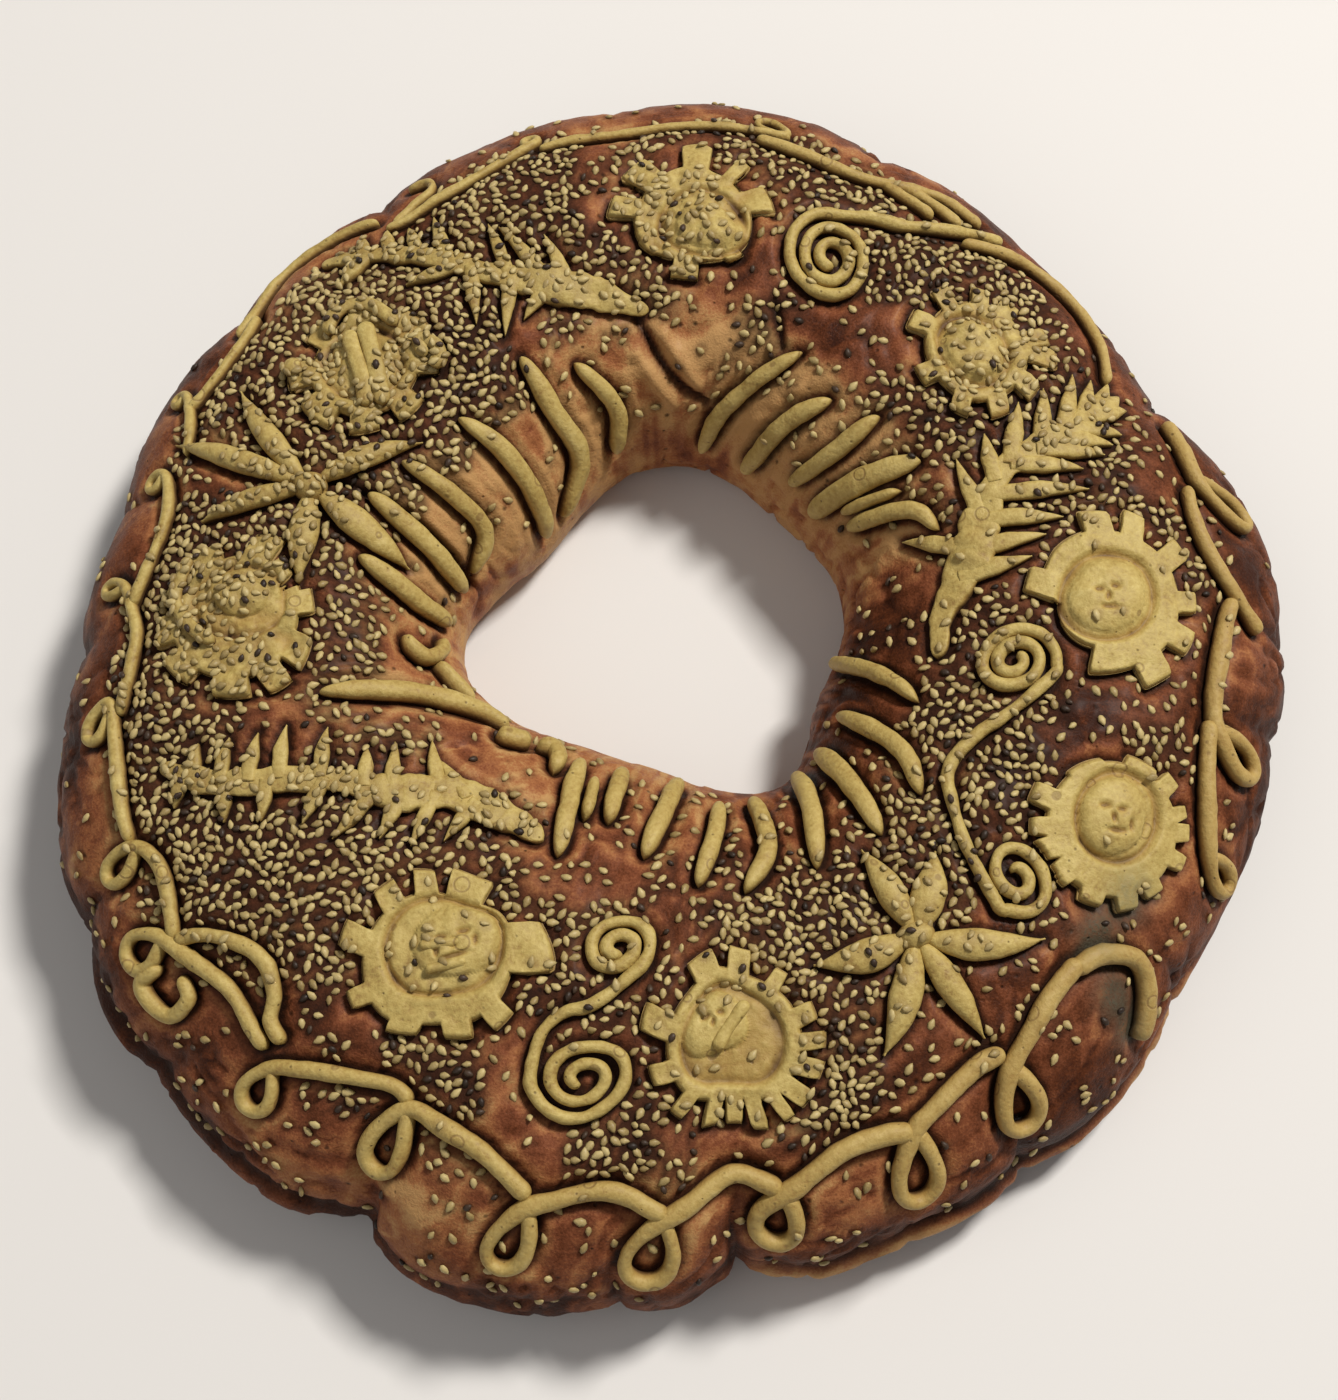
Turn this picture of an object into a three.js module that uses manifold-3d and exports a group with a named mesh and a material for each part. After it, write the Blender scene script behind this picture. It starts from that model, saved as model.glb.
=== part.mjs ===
// A decorated bread ring: a thick hand-shaped ring of dough, glazed and baked, with ornaments of pale dough
// laid on its crust and seeds strewn between them. Millimetres, +Z up, the flat underside at Z = 0 and the
// ring's middle at the origin. A place on the crust is [angle, across]: degrees round the ring from +X, and
// across it -1 at the hole's wall, 0 on the crest and +1 at the rim's wall.

import * as THREE from "three";
import { mergeVertices } from "three/addons/utils/BufferGeometryUtils.js";
import Module from "manifold-3d";

const wasm = await Module();
wasm.setup();

// The ring of dough: its radii swell and shrink by a few waves, each [waves round, size, phase in degrees].
const RING_HEIGHT = 60;
const BULGE_HEIGHT = 18;
const CREST_SHARE = 0.44;
const RIM_RADIUS = 170;
const RIM_WAVES = [
  [1, 4.6, -151],
  [2, 4.5, 132],
  [3, 4, -42],
  [4, 2, -4],
  [5, 1.5, 28],
  [6, 1.5, 87],
  [7, 1.3, 4],
];
const HOLE_RADIUS = 49.6;
const HOLE_WAVES = [
  [1, 14, 98],
  [2, 2.3, -73],
  [3, 4.8, -163],
  [4, 2.4, 29],
  [5, 2.5, 129],
];
// The rim is pinched into lobes: [angle, depth, half width in degrees].
const RIM_PINCHES = [
  [2, 2.5, 5],
  [29, 3.5, 6],
  [69, 2.5, 5],
  [96, 2, 5],
  [122, 2, 3],
  [141, 2.5, 4],
  [165, 2.5, 5],
  [180, 1.5, 3],
  [205, 3, 4],
  [220, 2, 4],
  [241, 7, 4.5],
  [264, 3, 4],
  [275.5, 7, 4],
  [304, 3, 4],
  [326, 2, 5],
  [352, 2.5, 5],
];
const RING_STEPS_ROUND = 88;
const RING_STEPS_ACROSS = 16;

// The ornaments of dough and how far they keep off the crust below them. Ropes are thinner at the far side.
const LIFT = 0.8;
const ROPE_HALF_WIDTH = 2;
const ROPE_THICKENING = 0.6;
const ROPE_HEIGHT_SHARE = 1.45;
const FINGER_THICKNESS = 3.7;
const PETAL_THICKNESS = 3.8;
const COIL_HALF_WIDTH = 1.35;
const COIL_THICKNESS = 2.4;
const FROND_LIFT = 1.2;
const FROND_THICKNESS = 1.6;
const LEAFLET_THICKNESS = 1.2;
const ROSETTE_THICKNESS = 2.1;

// Seeds large enough to show, baked into the crust.
const SEED_COUNT = 13;
const SEED_HALF_LENGTH = 1.6;
const SEED_HALF_WIDTH = 1;
const SEED_HALF_HEIGHT = 0.8;
const SEED_CLEARANCE = 4.6;
const SEED_SIDES = 5;
const SEED_RINGS = 3;
const SEED_BAND = [-0.35, 0.5];
const SEED_DRAW = 1880;

// Rim ropes: each strand runs clockwise along the rim and turns out over it in a loop that comes back towards
// the place where the loop began. [start angle, start across, loop angle, loop across, bow towards the crest,
// loop length, loop half width, loop lean in degrees from straight outward]
const ROPES = [
  [[23.5, 0.6, 18, 0.5, 0.03, 21, 4.5, -49]],
  [[14.5, 0.45, 1, 0.62, 0.06, 0, 0, 0]],
  [[359.5, 0.45, 349.3, 0.48, 0.03, 20, 5, -24]],
  [[347, 0.46, 336.8, 0.61, 0, 15, 4.5, -14]],
  [[318, 0.39, 305.8, 0.48, 0.02, 21, 7, -14]],
  [[302.5, 0.44, 294, 0.48, 0.02, 23, 7, -13]],
  [[291, 0.49, 280.3, 0.55, 0.04, 17.5, 6.8, -19]],
  [[277, 0.5, 268.5, 0.54, 0.02, 21, 7.8, -15]],
  [[266, 0.51, 256, 0.5, 0.045, 21, 6.5, -12]],
  [[253, 0.45, 242, 0.43, 0.06, 22, 6.5, -5]],
  [[239.5, 0.42, 228.5, 0.5, 0.03, 15, 5.7, 5]],
  [[225, 0.48, 212, 0.49, 0.03, 14.5, 6.4, -6]],
  [[210, 0.47, 202.5, 0.46, 0.04, 16, 4.5, 17]],
  [[199, 0.48, 187.5, 0.48, 0.02, 13, 4.5, 15]],
  [[185.5, 0.42, 174.5, 0.5, 0.03, 10, 3, 0]],
  [[173, 0.46, 161, 0.5, 0.05, 9, 3, 40]],
  [[157, 0.44, 151.5, 0.6, 0, 6, 3, 60]],
  [
    [150, 0.53, 140.5, 0.6, 0.05, 0, 0, 0],
    [141.5, 0.6, 124, 0.55, -0.08, 0, 0, 0],
  ],
  [[122, 0.48, 104.5, 0.5, 0.05, 6, 3, 60]],
  [[103, 0.45, 81, 0.47, 0.01, 8, 3, 60]],
  [
    [78, 0.41, 62, 0.52, 0.03, 0, 0, 0],
    [64.5, 0.48, 58, 0.47, 0, 0, 0, 0],
  ],
  [[53.5, 0.4, 33, 0.48, -0.22, 0, 0, 0]],
];
// More strands that belong to some ropes, by the rope's number: the places along each.
const ROPE_EXTRAS = {
  5: [[[318, 0.74], [320.5, 0.69], [322.5, 0.62], [323, 0.55], [322, 0.48], [320, 0.42], [317, 0.39]]],
  12: [
    [[214, 0.49], [214.3, 0.63], [216, 0.66], [218, 0.63], [218.3, 0.48]],
    [[213, 0.48], [214.5, 0.4], [217.5, 0.355], [221, 0.345], [224, 0.37], [225.5, 0.42], [227.5, 0.45]],
  ],
  21: [
    [[67, 0.45], [63.5, 0.425], [60.5, 0.415]],
    [[63.5, 0.505], [60, 0.555], [56, 0.56]],
  ],
};
const ROPE_STEPS = 12;
const EXTRA_STEPS = 4;
const RUN_PLACES = 8;
const LOOP_PLACES = 9;
const LOOP_CLEARANCE = 0.5;
const SHORTEST_LOOP = 9.5;

// Fingers of dough over the edge of the hole: [half width, places from the high end to the low end].
const FINGERS = [
  [2.45, [67, -0.29], [74, -0.49], [81, -0.72], [84, -0.94]],
  [2.9, [58, -0.37], [65, -0.57], [72, -0.92]],
  [2.6, [48, -0.29], [52, -0.54], [58, -0.77]],
  [3.4, [36, -0.28], [42, -0.51], [49, -0.82]],
  [2.6, [22, -0.35], [29, -0.41], [37, -0.7]],
  [2.3, [342, -0.36], [348, -0.51], [0, -0.92]],
  [2.7, [323, -0.22], [330, -0.36], [336, -0.69]],
  [2.9, [312, -0.25], [318, -0.51], [323, -0.75]],
  [2.8, [298, -0.26], [306, -0.51], [313, -0.8]],
  [2.6, [283, -0.22], [291, -0.38], [294, -0.68]],
  [2.5, [274, -0.23], [278.5, -0.4], [283, -0.62]],
  [2.7, [262, -0.33], [265.5, -0.52], [270, -0.76]],
  [2.6, [251, -0.43], [249, -0.55], [247, -0.7]],
  [2.7, [244, -0.25], [239, -0.43], [232, -0.65]],
  [2.5, [110, -0.39], [104, -0.65], [106, -0.86]],
  [2.9, [119, -0.24], [118, -0.47], [116, -0.73], [126, -0.92]],
  [2.7, [135, -0.25], [132, -0.47], [132, -0.72], [134, -0.91]],
  [2.4, [148, -0.22], [147, -0.43], [148, -0.64], [157, -0.76]],
  [2.7, [156, -0.2], [159.5, -0.55], [162, -0.79]],
  [2.8, [167, -0.27], [171, -0.56], [172, -0.78]],
];
const FORKED_FINGER = [
  [2.8, [192, -0.13], [193, -0.3], [195, -0.47], [200, -0.63], [207, -0.67]],
  [2.2, [180, -0.5], [184.5, -0.55], [188, -0.62], [201, -0.65]],
  [2.9, [206, -0.66], [212, -0.59], [216, -0.62]],
  [2.4, [215, -0.62], [222, -0.64], [226, -0.6], [229, -0.53]],
];
// Three short strands that have sunk into the crust between the fingers.
const SUNK_STRANDS = [
  [2.6, [90, -0.42], [87, -0.5], [83.5, -0.61]],
  [1.8, [34, -0.41], [37, -0.53], [41, -0.67]],
  [1.8, [245, -0.4], [243, -0.48], [241, -0.56]],
];
const SUNK_LIFT = -0.9;
const FINGER_STEPS = 5;

// Rosettes, cut like small toothed wheels, each with a button set in its middle: [place, radius, teeth and
// their depth as a share, the button's middle and half sizes along the ring and outward, its height].
const ROSETTES = [
  [[88, 0.05], 23, 9, 0.28, [-3.8, -3.9], [8.5, 7.5], 4.2],
  [[44, 0.13], 21.5, 9, 0.3, [0.5, -1], [9.3, 7.8], 5.2],
  [[2.5, 0.13], 28, 8, 0.27, [1.5, -0.4], [9.4, 9.6], 5],
  [[333.2, 0.305], 23.2, 13, 0.22, [2.8, -2.2], [9.6, 8.4], 5.2],
  [[277, 0.17], 24, 14, 0.31, [-3.2, -2.6], [7.6, 7], 4.8],
  [[236.5, 0.115], 28.5, 9, 0.35, [1, -4.6], [9.6, 9], 4.6],
  [[179.5, 0.1], 23.5, 10, 0.26, [-4.8, -1.2], [5.2, 7], 4.6],
  [[139, 0.1], 22, 8, 0.3, [0.5, -1], [5.5, 10], 4.2],
];
// The teeth of those that have kept their edges, clockwise as seen from above: [degrees from the way along
// the ring, half width in degrees, reach]. The third has lost a side.
const TEETH = {
  1: [
    ...[[13, 8, 24.5], [46, 10, 26], [91, 10, 25.5], [125, 4, 25], [156, 10, 24], [225, 9, 18]],
    ...[[275, 10, 23], [320, 12, 17]],
  ],
  2: [
    ...[[338, 9, 20.5], [13, 7, 21], [48, 7, 20], [77, 9, 19.5], [114, 7, 23], [132, 7, 24.5]],
    ...[[165, 8, 21], [200, 9, 20], [240, 9, 20], [285, 9, 20]],
  ],
  3: [
    ...[[358, 9, 26], [23, 6, 28], [54, 7, 27.5], [88, 6.5, 26], [115, 7.5, 26.5], [143, 8, 28]],
    ...[[180, 7, 18], [287, 8, 25]],
  ],
  4: [
    ...[[357, 12, 20.5], [22, 6, 22.5], [46, 4.5, 22], [61, 6, 22.5], [83, 5.5, 22.8], [114, 7, 21.2]],
    ...[[139, 8, 22], [171, 9, 20.8], [202, 9, 20.5], [224, 8, 21], [243, 6, 21.7], [267, 7, 23.2]],
    [309, 15, 19],
  ],
  5: [
    ...[[254, 9, 22], [281, 6.5, 23.5], [311, 5, 21], [347, 7, 21], [8, 5.5, 22.5], [27, 6, 23]],
    ...[[46, 6, 23.5], [61, 4, 23.5], [80, 5, 24], [96, 5.5, 23], [113, 5, 22.5], [139, 5, 21.5]],
    ...[[167, 6.5, 21.5], [202, 9, 23]],
  ],
  6: [
    ...[[200, 8, 24], [229, 7.5, 25], [259, 12, 27], [320, 16, 28.5], [10, 8, 23.3], [44, 11, 22]],
    ...[[84, 10, 21.5], [124, 6, 23.5], [163, 8, 25.5]],
  ],
};
const LOST_SIDES = { 3: [232, 44, 14] };
const WIDEST_GAP = 26;
const STEPS_A_TOOTH = 3;
const CUP_SHARE = 1.3;
const CUP_FLOOR = ROSETTE_THICKNESS * 0.4;
const BUTTON_SHOULDER = [0.7, 0.85];
const PLATE_CLEARANCE = 1.1;
const SAMPLE_SPACING = 1.2;
const SQUEEZE_STEPS = 14;
const SMALLEST_REACH = 0.5;
const COSINE_BESIDE = 0.88;
const INNER_LIMITS = [0.4, 0.8];

// Stars: the middle, the knob's half sizes, and for each petal [half width, tip].
const STARS = [
  {
    middle: [305, 0.07],
    knobSizes: [5, 3.9],
    petals: [
      [3.8, [307, -0.24]],
      [4.6, [316, -0.08]],
      [4.1, [317.5, 0.28]],
      [3.8, [305, 0.38]],
      [4.3, [294, 0.28]],
      [4.4, [290, 0.03]],
    ],
  },
  {
    middle: [159, -0.01],
    knobSizes: [4.4, 4.4],
    petals: [
      [3.4, [150, 0.36]],
      [3.4, [143, -0.22]],
      [4, [165.5, -0.48]],
      [4.2, [174, -0.09]],
      [3, [167, 0.29]],
      [3.4, [158, 0.5]],
    ],
  },
];
const STAR_KNOB_HEIGHT = 4.6;
const STAR_KNOB_SHOULDER = 0.8;
const STAR_KNOB_STEPS = 8;
const PETAL_STEPS = 4;

// Spirals: [middle, half sizes along and outward, turns, angle at which the rope leaves the coil], the tail's
// places, and where there is one the second coil that it ends in.
const SPIRALS = [
  { coil: [[68.5, 0.065], 12.8, 14.6, 2.6, 10], tail: [[66, 0.265], [62, 0.3], [57, 0.42], [52.5, 0.56]] },
  {
    coil: [[352.5, -0.09], 10.2, 10.4, 2.4, -20],
    tail: [[342, -0.08], [338, -0.13], [332, -0.17], [327, -0.15], [320.5, -0.03]],
    second: [[321, 0.135], 8.8, 10.4, 1.75, -95],
  },
  {
    coil: [[260, -0.06], 9.9, 9.6, 2.25, 30],
    tail: [[258, 0.07], [255, 0.09], [252.7, 0.14]],
    second: [[258.8, 0.215], 13.4, 11.4, 2.2, -80],
  },
];
const COIL_START_SHARE = 0.2;
const COIL_STEPS_A_TURN = 12;

// Fronds: the stem's places and its half widths at even steps, and the leaflets on its left and right as seen
// from above: [share of the stem, tip].
const FRONDS = [
  {
    stem: [
      [353, -0.34],
      [4, -0.35],
      [12, -0.29],
      [18, -0.22],
      [22, -0.15],
      [25, -0.05],
      [27, 0.1],
      [28, 0.25],
      [28.5, 0.36],
    ],
    widths: [2.3, 3.6, 5.2, 5, 3.8, 3.8, 4.8, 4.6, 3],
    left: [
      [0.38, [24, -0.5]],
      [0.45, [30.5, -0.24]],
      [0.56, [33.5, -0.07]],
      [0.62, [34.5, 0.13]],
      [0.72, [34.5, 0.23]],
      [0.8, [34.5, 0.36]],
      [0.88, [33, 0.42]],
      [0.94, [31, 0.5]],
    ],
    right: [
      [0.3, [11, -0.07]],
      [0.38, [14, -0.01]],
      [0.46, [16, 0.05]],
      [0.53, [19, 0.15]],
      [0.62, [22, 0.17]],
      [0.7, [23, 0.26]],
      [0.77, [24, 0.31]],
      [0.84, [25, 0.37]],
    ],
  },
  {
    stem: [
      [239.5, -0.27],
      [232, -0.29],
      [224, -0.28],
      [217, -0.22],
      [213, -0.15],
      [208, -0.06],
      [204, 0.04],
      [200, 0.22],
      [196, 0.33],
    ],
    widths: [2.4, 4.3, 5.8, 5, 4.2, 4.2, 4.8, 5, 2],
    right: [
      [0.26, [215, -0.43]],
      [0.32, [207, -0.39]],
      [0.42, [204, -0.29]],
      [0.48, [203, -0.2]],
      [0.57, [198, -0.11]],
      [0.65, [196, 0]],
      [0.72, [196, 0.07]],
      [0.79, [195.5, 0.14]],
      [0.87, [195, 0.22]],
    ],
    left: [
      [0.24, [225, -0.13]],
      [0.33, [222, -0.06]],
      [0.4, [218, -0.02]],
      [0.45, [214, 0.05]],
      [0.56, [210, 0.08]],
      [0.68, [207, 0.16]],
      [0.78, [205, 0.24]],
      [0.9, [201, 0.33]],
    ],
  },
  {
    stem: [
      [95, -0.3],
      [101, -0.23],
      [108, -0.11],
      [114, 0.01],
      [119, 0.13],
      [123, 0.27],
      [128, 0.4],
      [132, 0.52],
    ],
    widths: [1.6, 4, 6, 5.3, 4.2, 4, 4.5, 4, 2],
    right: [
      [0.27, [108, 0.09]],
      [0.33, [113, 0.19]],
      [0.43, [114, 0.22]],
      [0.58, [119, 0.38]],
      [0.66, [122, 0.42]],
      [0.74, [124, 0.47]],
      [0.82, [126.5, 0.5]],
    ],
    left: [
      [0.33, [115.5, -0.14]],
      [0.42, [119.5, -0.14]],
      [0.52, [122.5, -0.03]],
      [0.56, [127, 0.21]],
      [0.8, [133, 0.37]],
    ],
  },
];
const STEM_STEPS = 16;

// One unit across the crust is about as long as this many degrees round the crest.
const ACROSS_IN_DEGREES = 47;

const { degToRad, radToDeg, lerp, clamp, seededRandom } = THREE.MathUtils;

// The sum of a mean and its waves at an angle.
function waved(angle, mean, waves) {
  const term = ([count, size, phase]) => size * Math.cos(degToRad(count * angle - phase));
  return waves.reduce((sum, wave) => sum + term(wave), mean);
}

// The waved rim less a bell-shaped pinch at each place between two lobes.
function rimRadius(angle) {
  const pinch = ([at, deep, wide]) => {
    const apart = ((((angle - at) % 360) + 540) % 360) - 180;
    return deep * Math.exp(-((apart / wide) ** 2));
  };
  return RIM_PINCHES.reduce((radius, values) => radius - pinch(values), waved(angle, RIM_RADIUS, RIM_WAVES));
}

// A point of the crust: half an ellipse on each side of the crest, tucked under to the flat base.
function crustPoint([angle, across]) {
  const rim = rimRadius(angle);
  const hole = waved(angle, HOLE_RADIUS, HOLE_WAVES);
  const crest = lerp(hole, rim, CREST_SHARE);
  const reach = across > 0 ? rim - crest : crest - hole;
  const tilt = (across * Math.PI) / 2;
  const radius = crest + reach * Math.sin(tilt);
  const height = BULGE_HEIGHT + (RING_HEIGHT - BULGE_HEIGHT) * Math.cos(tilt);
  return new THREE.Vector3(radius * Math.cos(degToRad(angle)), radius * Math.sin(degToRad(angle)), height);
}

const BASE_ACROSS = Math.acos(-BULGE_HEIGHT / (RING_HEIGHT - BULGE_HEIGHT)) / (Math.PI / 2);

// The direction out of the crust at a place.
function crustNormal([angle, across]) {
  const small = 0.01;
  const round = crustPoint([angle + small, across]).sub(crustPoint([angle - small, across]));
  const outward = crustPoint([angle, across + small]).sub(crustPoint([angle, across - small]));
  return outward.cross(round).normalize();
}

// Millimetres round the ring to one radian, and across it to one unit, at a place.
function unitsAt([angle, across]) {
  const small = 0.01;
  const point = crustPoint([angle, across]);
  const outer = crustPoint([angle, across + small]);
  const inner = crustPoint([angle, across - small]);
  return [Math.hypot(point.x, point.y), outer.distanceTo(inner) / (2 * small)];
}

// The place that lies some millimetres along the ring and outward from another.
function shifted([angle, across], along, outward) {
  const there = across + outward / unitsAt([angle, across])[1];
  return [angle + radToDeg(along / unitsAt([angle, there])[0]), there];
}

// Moves every vertex of a geometry.
function remapped(geometry, move) {
  const position = geometry.attributes.position;
  const uv = geometry.attributes.uv;
  const vertex = new THREE.Vector3();
  for (let i = 0; i < position.count; i++) {
    vertex.fromBufferAttribute(position, i);
    const moved = move(vertex, uv.getX(i), uv.getY(i));
    position.setXYZ(i, moved.x, moved.y, moved.z);
  }
  return geometry;
}

// A closed geometry as a solid, and a solid as a geometry.
const MERGE_DISTANCE = 1e-3;

function solidOf(geometry) {
  const bare = geometry.clone();
  bare.deleteAttribute("normal");
  bare.deleteAttribute("uv");
  const merged = mergeVertices(bare, MERGE_DISTANCE);
  const mesh = new wasm.Mesh({
    numProp: 3,
    vertProperties: merged.attributes.position.array,
    triVerts: new Uint32Array(merged.index.array),
  });
  return new wasm.Manifold(mesh);
}

function geometryOf(solid) {
  const mesh = solid.getMesh();
  const geometry = new THREE.BufferGeometry();
  geometry.setAttribute("position", new THREE.BufferAttribute(mesh.vertProperties, 3));
  geometry.setIndex(new THREE.BufferAttribute(mesh.triVerts, 1));
  geometry.computeVertexNormals();
  return geometry;
}

function joined(geometries) {
  const solids = geometries.map(solidOf);
  return geometryOf(solids.slice(1).reduce((sum, solid) => sum.add(solid), solids[0]));
}

// A rolled strand of dough laid along a route on the crust: flat below, narrower above, shaped by a taper.
const FLAT_SIDES = 4;
const TOP_SHARE = 0.62;

function strand(route, halfWidth, thickness, steps, taper, lift = LIFT) {
  const roll = new THREE.CylinderGeometry(Math.SQRT2, Math.SQRT2, 1, FLAT_SIDES, steps, false, Math.PI / 4);
  const small = 0.004;
  return remapped(roll, (vertex) => {
    const share = vertex.y + 0.5;
    const place = route(share);
    const normal = crustNormal(place);
    const ahead = crustPoint(route(clamp(share + small, 0, 1)));
    const tangent = ahead.sub(crustPoint(route(clamp(share - small, 0, 1)))).normalize();
    const side = tangent.cross(normal).normalize();
    const size = taper(share);
    const upper = vertex.z > 0;
    const width = vertex.x * halfWidth * size * (upper ? TOP_SHARE : 1);
    const height = lift + (upper ? thickness * Math.sqrt(size) : 0);
    return crustPoint(place).addScaledVector(side, width).addScaledVector(normal, height);
  });
}

// How wide a strand is along its length, as a share of its full width.
const ropeTaper = (share) => clamp(Math.min(share, 1 - share) * 14, 0.5, 1);
const fingerTaper = (share) => Math.max(0.35, (1 - Math.abs(2 * share - 1) ** 4.5) ** 0.55);
const petalTaper = (share) => Math.max(0.15, Math.sin(Math.PI * share ** 0.9) ** 1.1);
const evenTaper = () => 1;

// A straight route between two places, and a smooth one through several.
function straightRoute(from, to) {
  return (share) => [lerp(from[0], to[0], share), lerp(from[1], to[1], share)];
}

// Angles on the same turn as the first.
function unwound(places) {
  const start = places[0][0];
  const near = (angle) => start + ((((angle - start) % 360) + 540) % 360) - 180;
  return places.map(([angle, across]) => [near(angle), across]);
}

function smoothRoute(places) {
  const knot = ([angle, across]) => new THREE.Vector3(angle, across * ACROSS_IN_DEGREES, 0);
  const curve = new THREE.CatmullRomCurve3(unwound(places).map(knot));
  return (share) => {
    const point = curve.getPointAt(clamp(share, 0, 1));
    return [point.x, point.y / ACROSS_IN_DEGREES];
  };
}

// A route that passes through its places at even shares of its length.
function steppedRoute(places) {
  const knots = unwound(places);
  return (share) => {
    const far = clamp(share, 0, 1) * (knots.length - 1);
    const step = Math.min(Math.floor(far), knots.length - 2);
    return straightRoute(knots[step], knots[step + 1])(far - step);
  };
}

// A rim rope's route: a bowed run, then a teardrop. The teardrop stops near its apex where it is too
// narrow for the rope to come back beside itself, and the shortest hairpins are left out.
function ropeRoute([start, startAcross, end, endAcross, bow, length, halfWidth, lean], ropeWidth) {
  const turn = (((start - end) % 360) + 360) % 360;
  const places = Array.from({ length: RUN_PLACES + 1 }, (_, i) => {
    const run = i / RUN_PLACES;
    return [start - turn * run, lerp(startAcross, endAcross, run ** 2) - bow * Math.sin(Math.PI * run)];
  });
  const crossing = places[RUN_PLACES];
  const roomy = Math.SQRT2 * halfWidth > 2 * ropeWidth + LOOP_CLEARANCE && Math.abs(lean) < 40;
  const sweep = roomy ? 1.45 * Math.PI : 0.9 * Math.PI;
  for (let i = 1; length > SHORTEST_LOOP && i <= LOOP_PLACES; i++) {
    const swing = (sweep * i) / LOOP_PLACES;
    const out = (length * (1 - Math.cos(swing))) / 2;
    const aside = -halfWidth * Math.sin(swing) * Math.sin(swing / 2);
    const cosine = Math.cos(degToRad(lean));
    const sine = Math.sin(degToRad(lean));
    places.push(shifted(crossing, out * sine + aside * cosine, out * cosine - aside * sine));
  }
  return smoothRoute(places);
}

function rope(strands, i) {
  const width = ROPE_HALF_WIDTH - ROPE_THICKENING * Math.sin(degToRad(strands[0][0]));
  const height = ROPE_HEIGHT_SHARE * width;
  const extras = ROPE_EXTRAS[i + 1] ?? [];
  const rolls = [
    ...strands.map((values) => strand(ropeRoute(values, width), width, height, ROPE_STEPS, ropeTaper)),
    ...extras.map((places) => {
      const steps = Math.max(EXTRA_STEPS, places.length - 1);
      return strand(smoothRoute(places), width, height, steps, ropeTaper);
    }),
  ];
  return rolls.length > 1 ? joined(rolls) : rolls[0];
}

function finger([halfWidth, ...places]) {
  return strand(smoothRoute(places), halfWidth, FINGER_THICKNESS, FINGER_STEPS, fingerTaper);
}

function sunkStrand([halfWidth, ...places]) {
  return strand(smoothRoute(places), halfWidth, FINGER_THICKNESS, FINGER_STEPS, fingerTaper, SUNK_LIFT);
}

// A shape turned about its own upright axis and pressed onto the crust round a place.
function pressed(profile, steps, place, outline) {
  const turned = new THREE.LatheGeometry(profile, steps);
  return remapped(turned, (vertex, round) => {
    const [along, outward] = outline(vertex, round);
    const there = shifted(place, along, outward);
    return crustPoint(there).addScaledVector(crustNormal(there), LIFT + vertex.y);
  });
}

// Points spread over the faces of a geometry that lie near a point.
function samplesNear(geometry, middle, far) {
  const faces = geometry.index ? geometry.toNonIndexed() : geometry;
  const position = faces.attributes.position;
  const found = [];
  for (let i = 0; i < position.count; i += 3) {
    const [a, b, c] = [0, 1, 2].map((k) => new THREE.Vector3().fromBufferAttribute(position, i + k));
    if (Math.min(...[a, b, c].map((corner) => corner.distanceTo(middle))) > far) continue;
    const longest = Math.max(a.distanceTo(b), a.distanceTo(c), b.distanceTo(c));
    const count = Math.max(1, Math.ceil(longest / SAMPLE_SPACING));
    for (let j = 0; j <= count; j++) {
      const from = a.clone().lerp(b, j / count);
      const to = a.clone().lerp(c, j / count);
      for (let k = 0; k <= j; k++) found.push(from.clone().lerp(to, j ? k / j : 0));
    }
  }
  return found;
}

// The steps round a wheel's edge, each with its turn and reach: two corners a tooth, the disc in between.
function edgeSteps([, radius, teeth, depth], number) {
  const disc = radius * (1 - depth);
  const whole = 2 * Math.PI;
  if (!TEETH[number]) {
    const steps = teeth * STEPS_A_TOOTH;
    return Array.from({ length: steps }, (_, i) => ({
      turn: (whole * i) / steps,
      reach: i % STEPS_A_TOOTH === 0 ? disc : radius,
    }));
  }
  const sorted = TEETH[number]
    .map(([at, half, reach]) => ({ at: (450 - at) % 360, half, reach }))
    .sort((one, other) => one.at - other.at);
  const [lostAt, lostHalf, lostReach] = LOST_SIDES[number] ?? [0, -1, 0];
  const isLost = (turn) => Math.abs(((90 - turn - lostAt + 900) % 360) - 180) < lostHalf;
  const steps = sorted.flatMap(({ at, half, reach }, i) => {
    const next = sorted[(i + 1) % sorted.length];
    const gap = ((next.at - next.half - at - half + 720) % 360) || 1;
    const count = Math.ceil(gap / WIDEST_GAP);
    const between = Array.from({ length: count }, (_, k) => {
      const turn = at + half + (gap * (k + 1)) / (count + 1);
      return { turn, reach: isLost(turn) ? lostReach : disc };
    });
    return [{ turn: at - half, reach }, { turn: at + half, reach }, ...between];
  });
  return steps.map(({ turn, reach }) => ({ turn: degToRad(turn), reach }));
}

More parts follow.
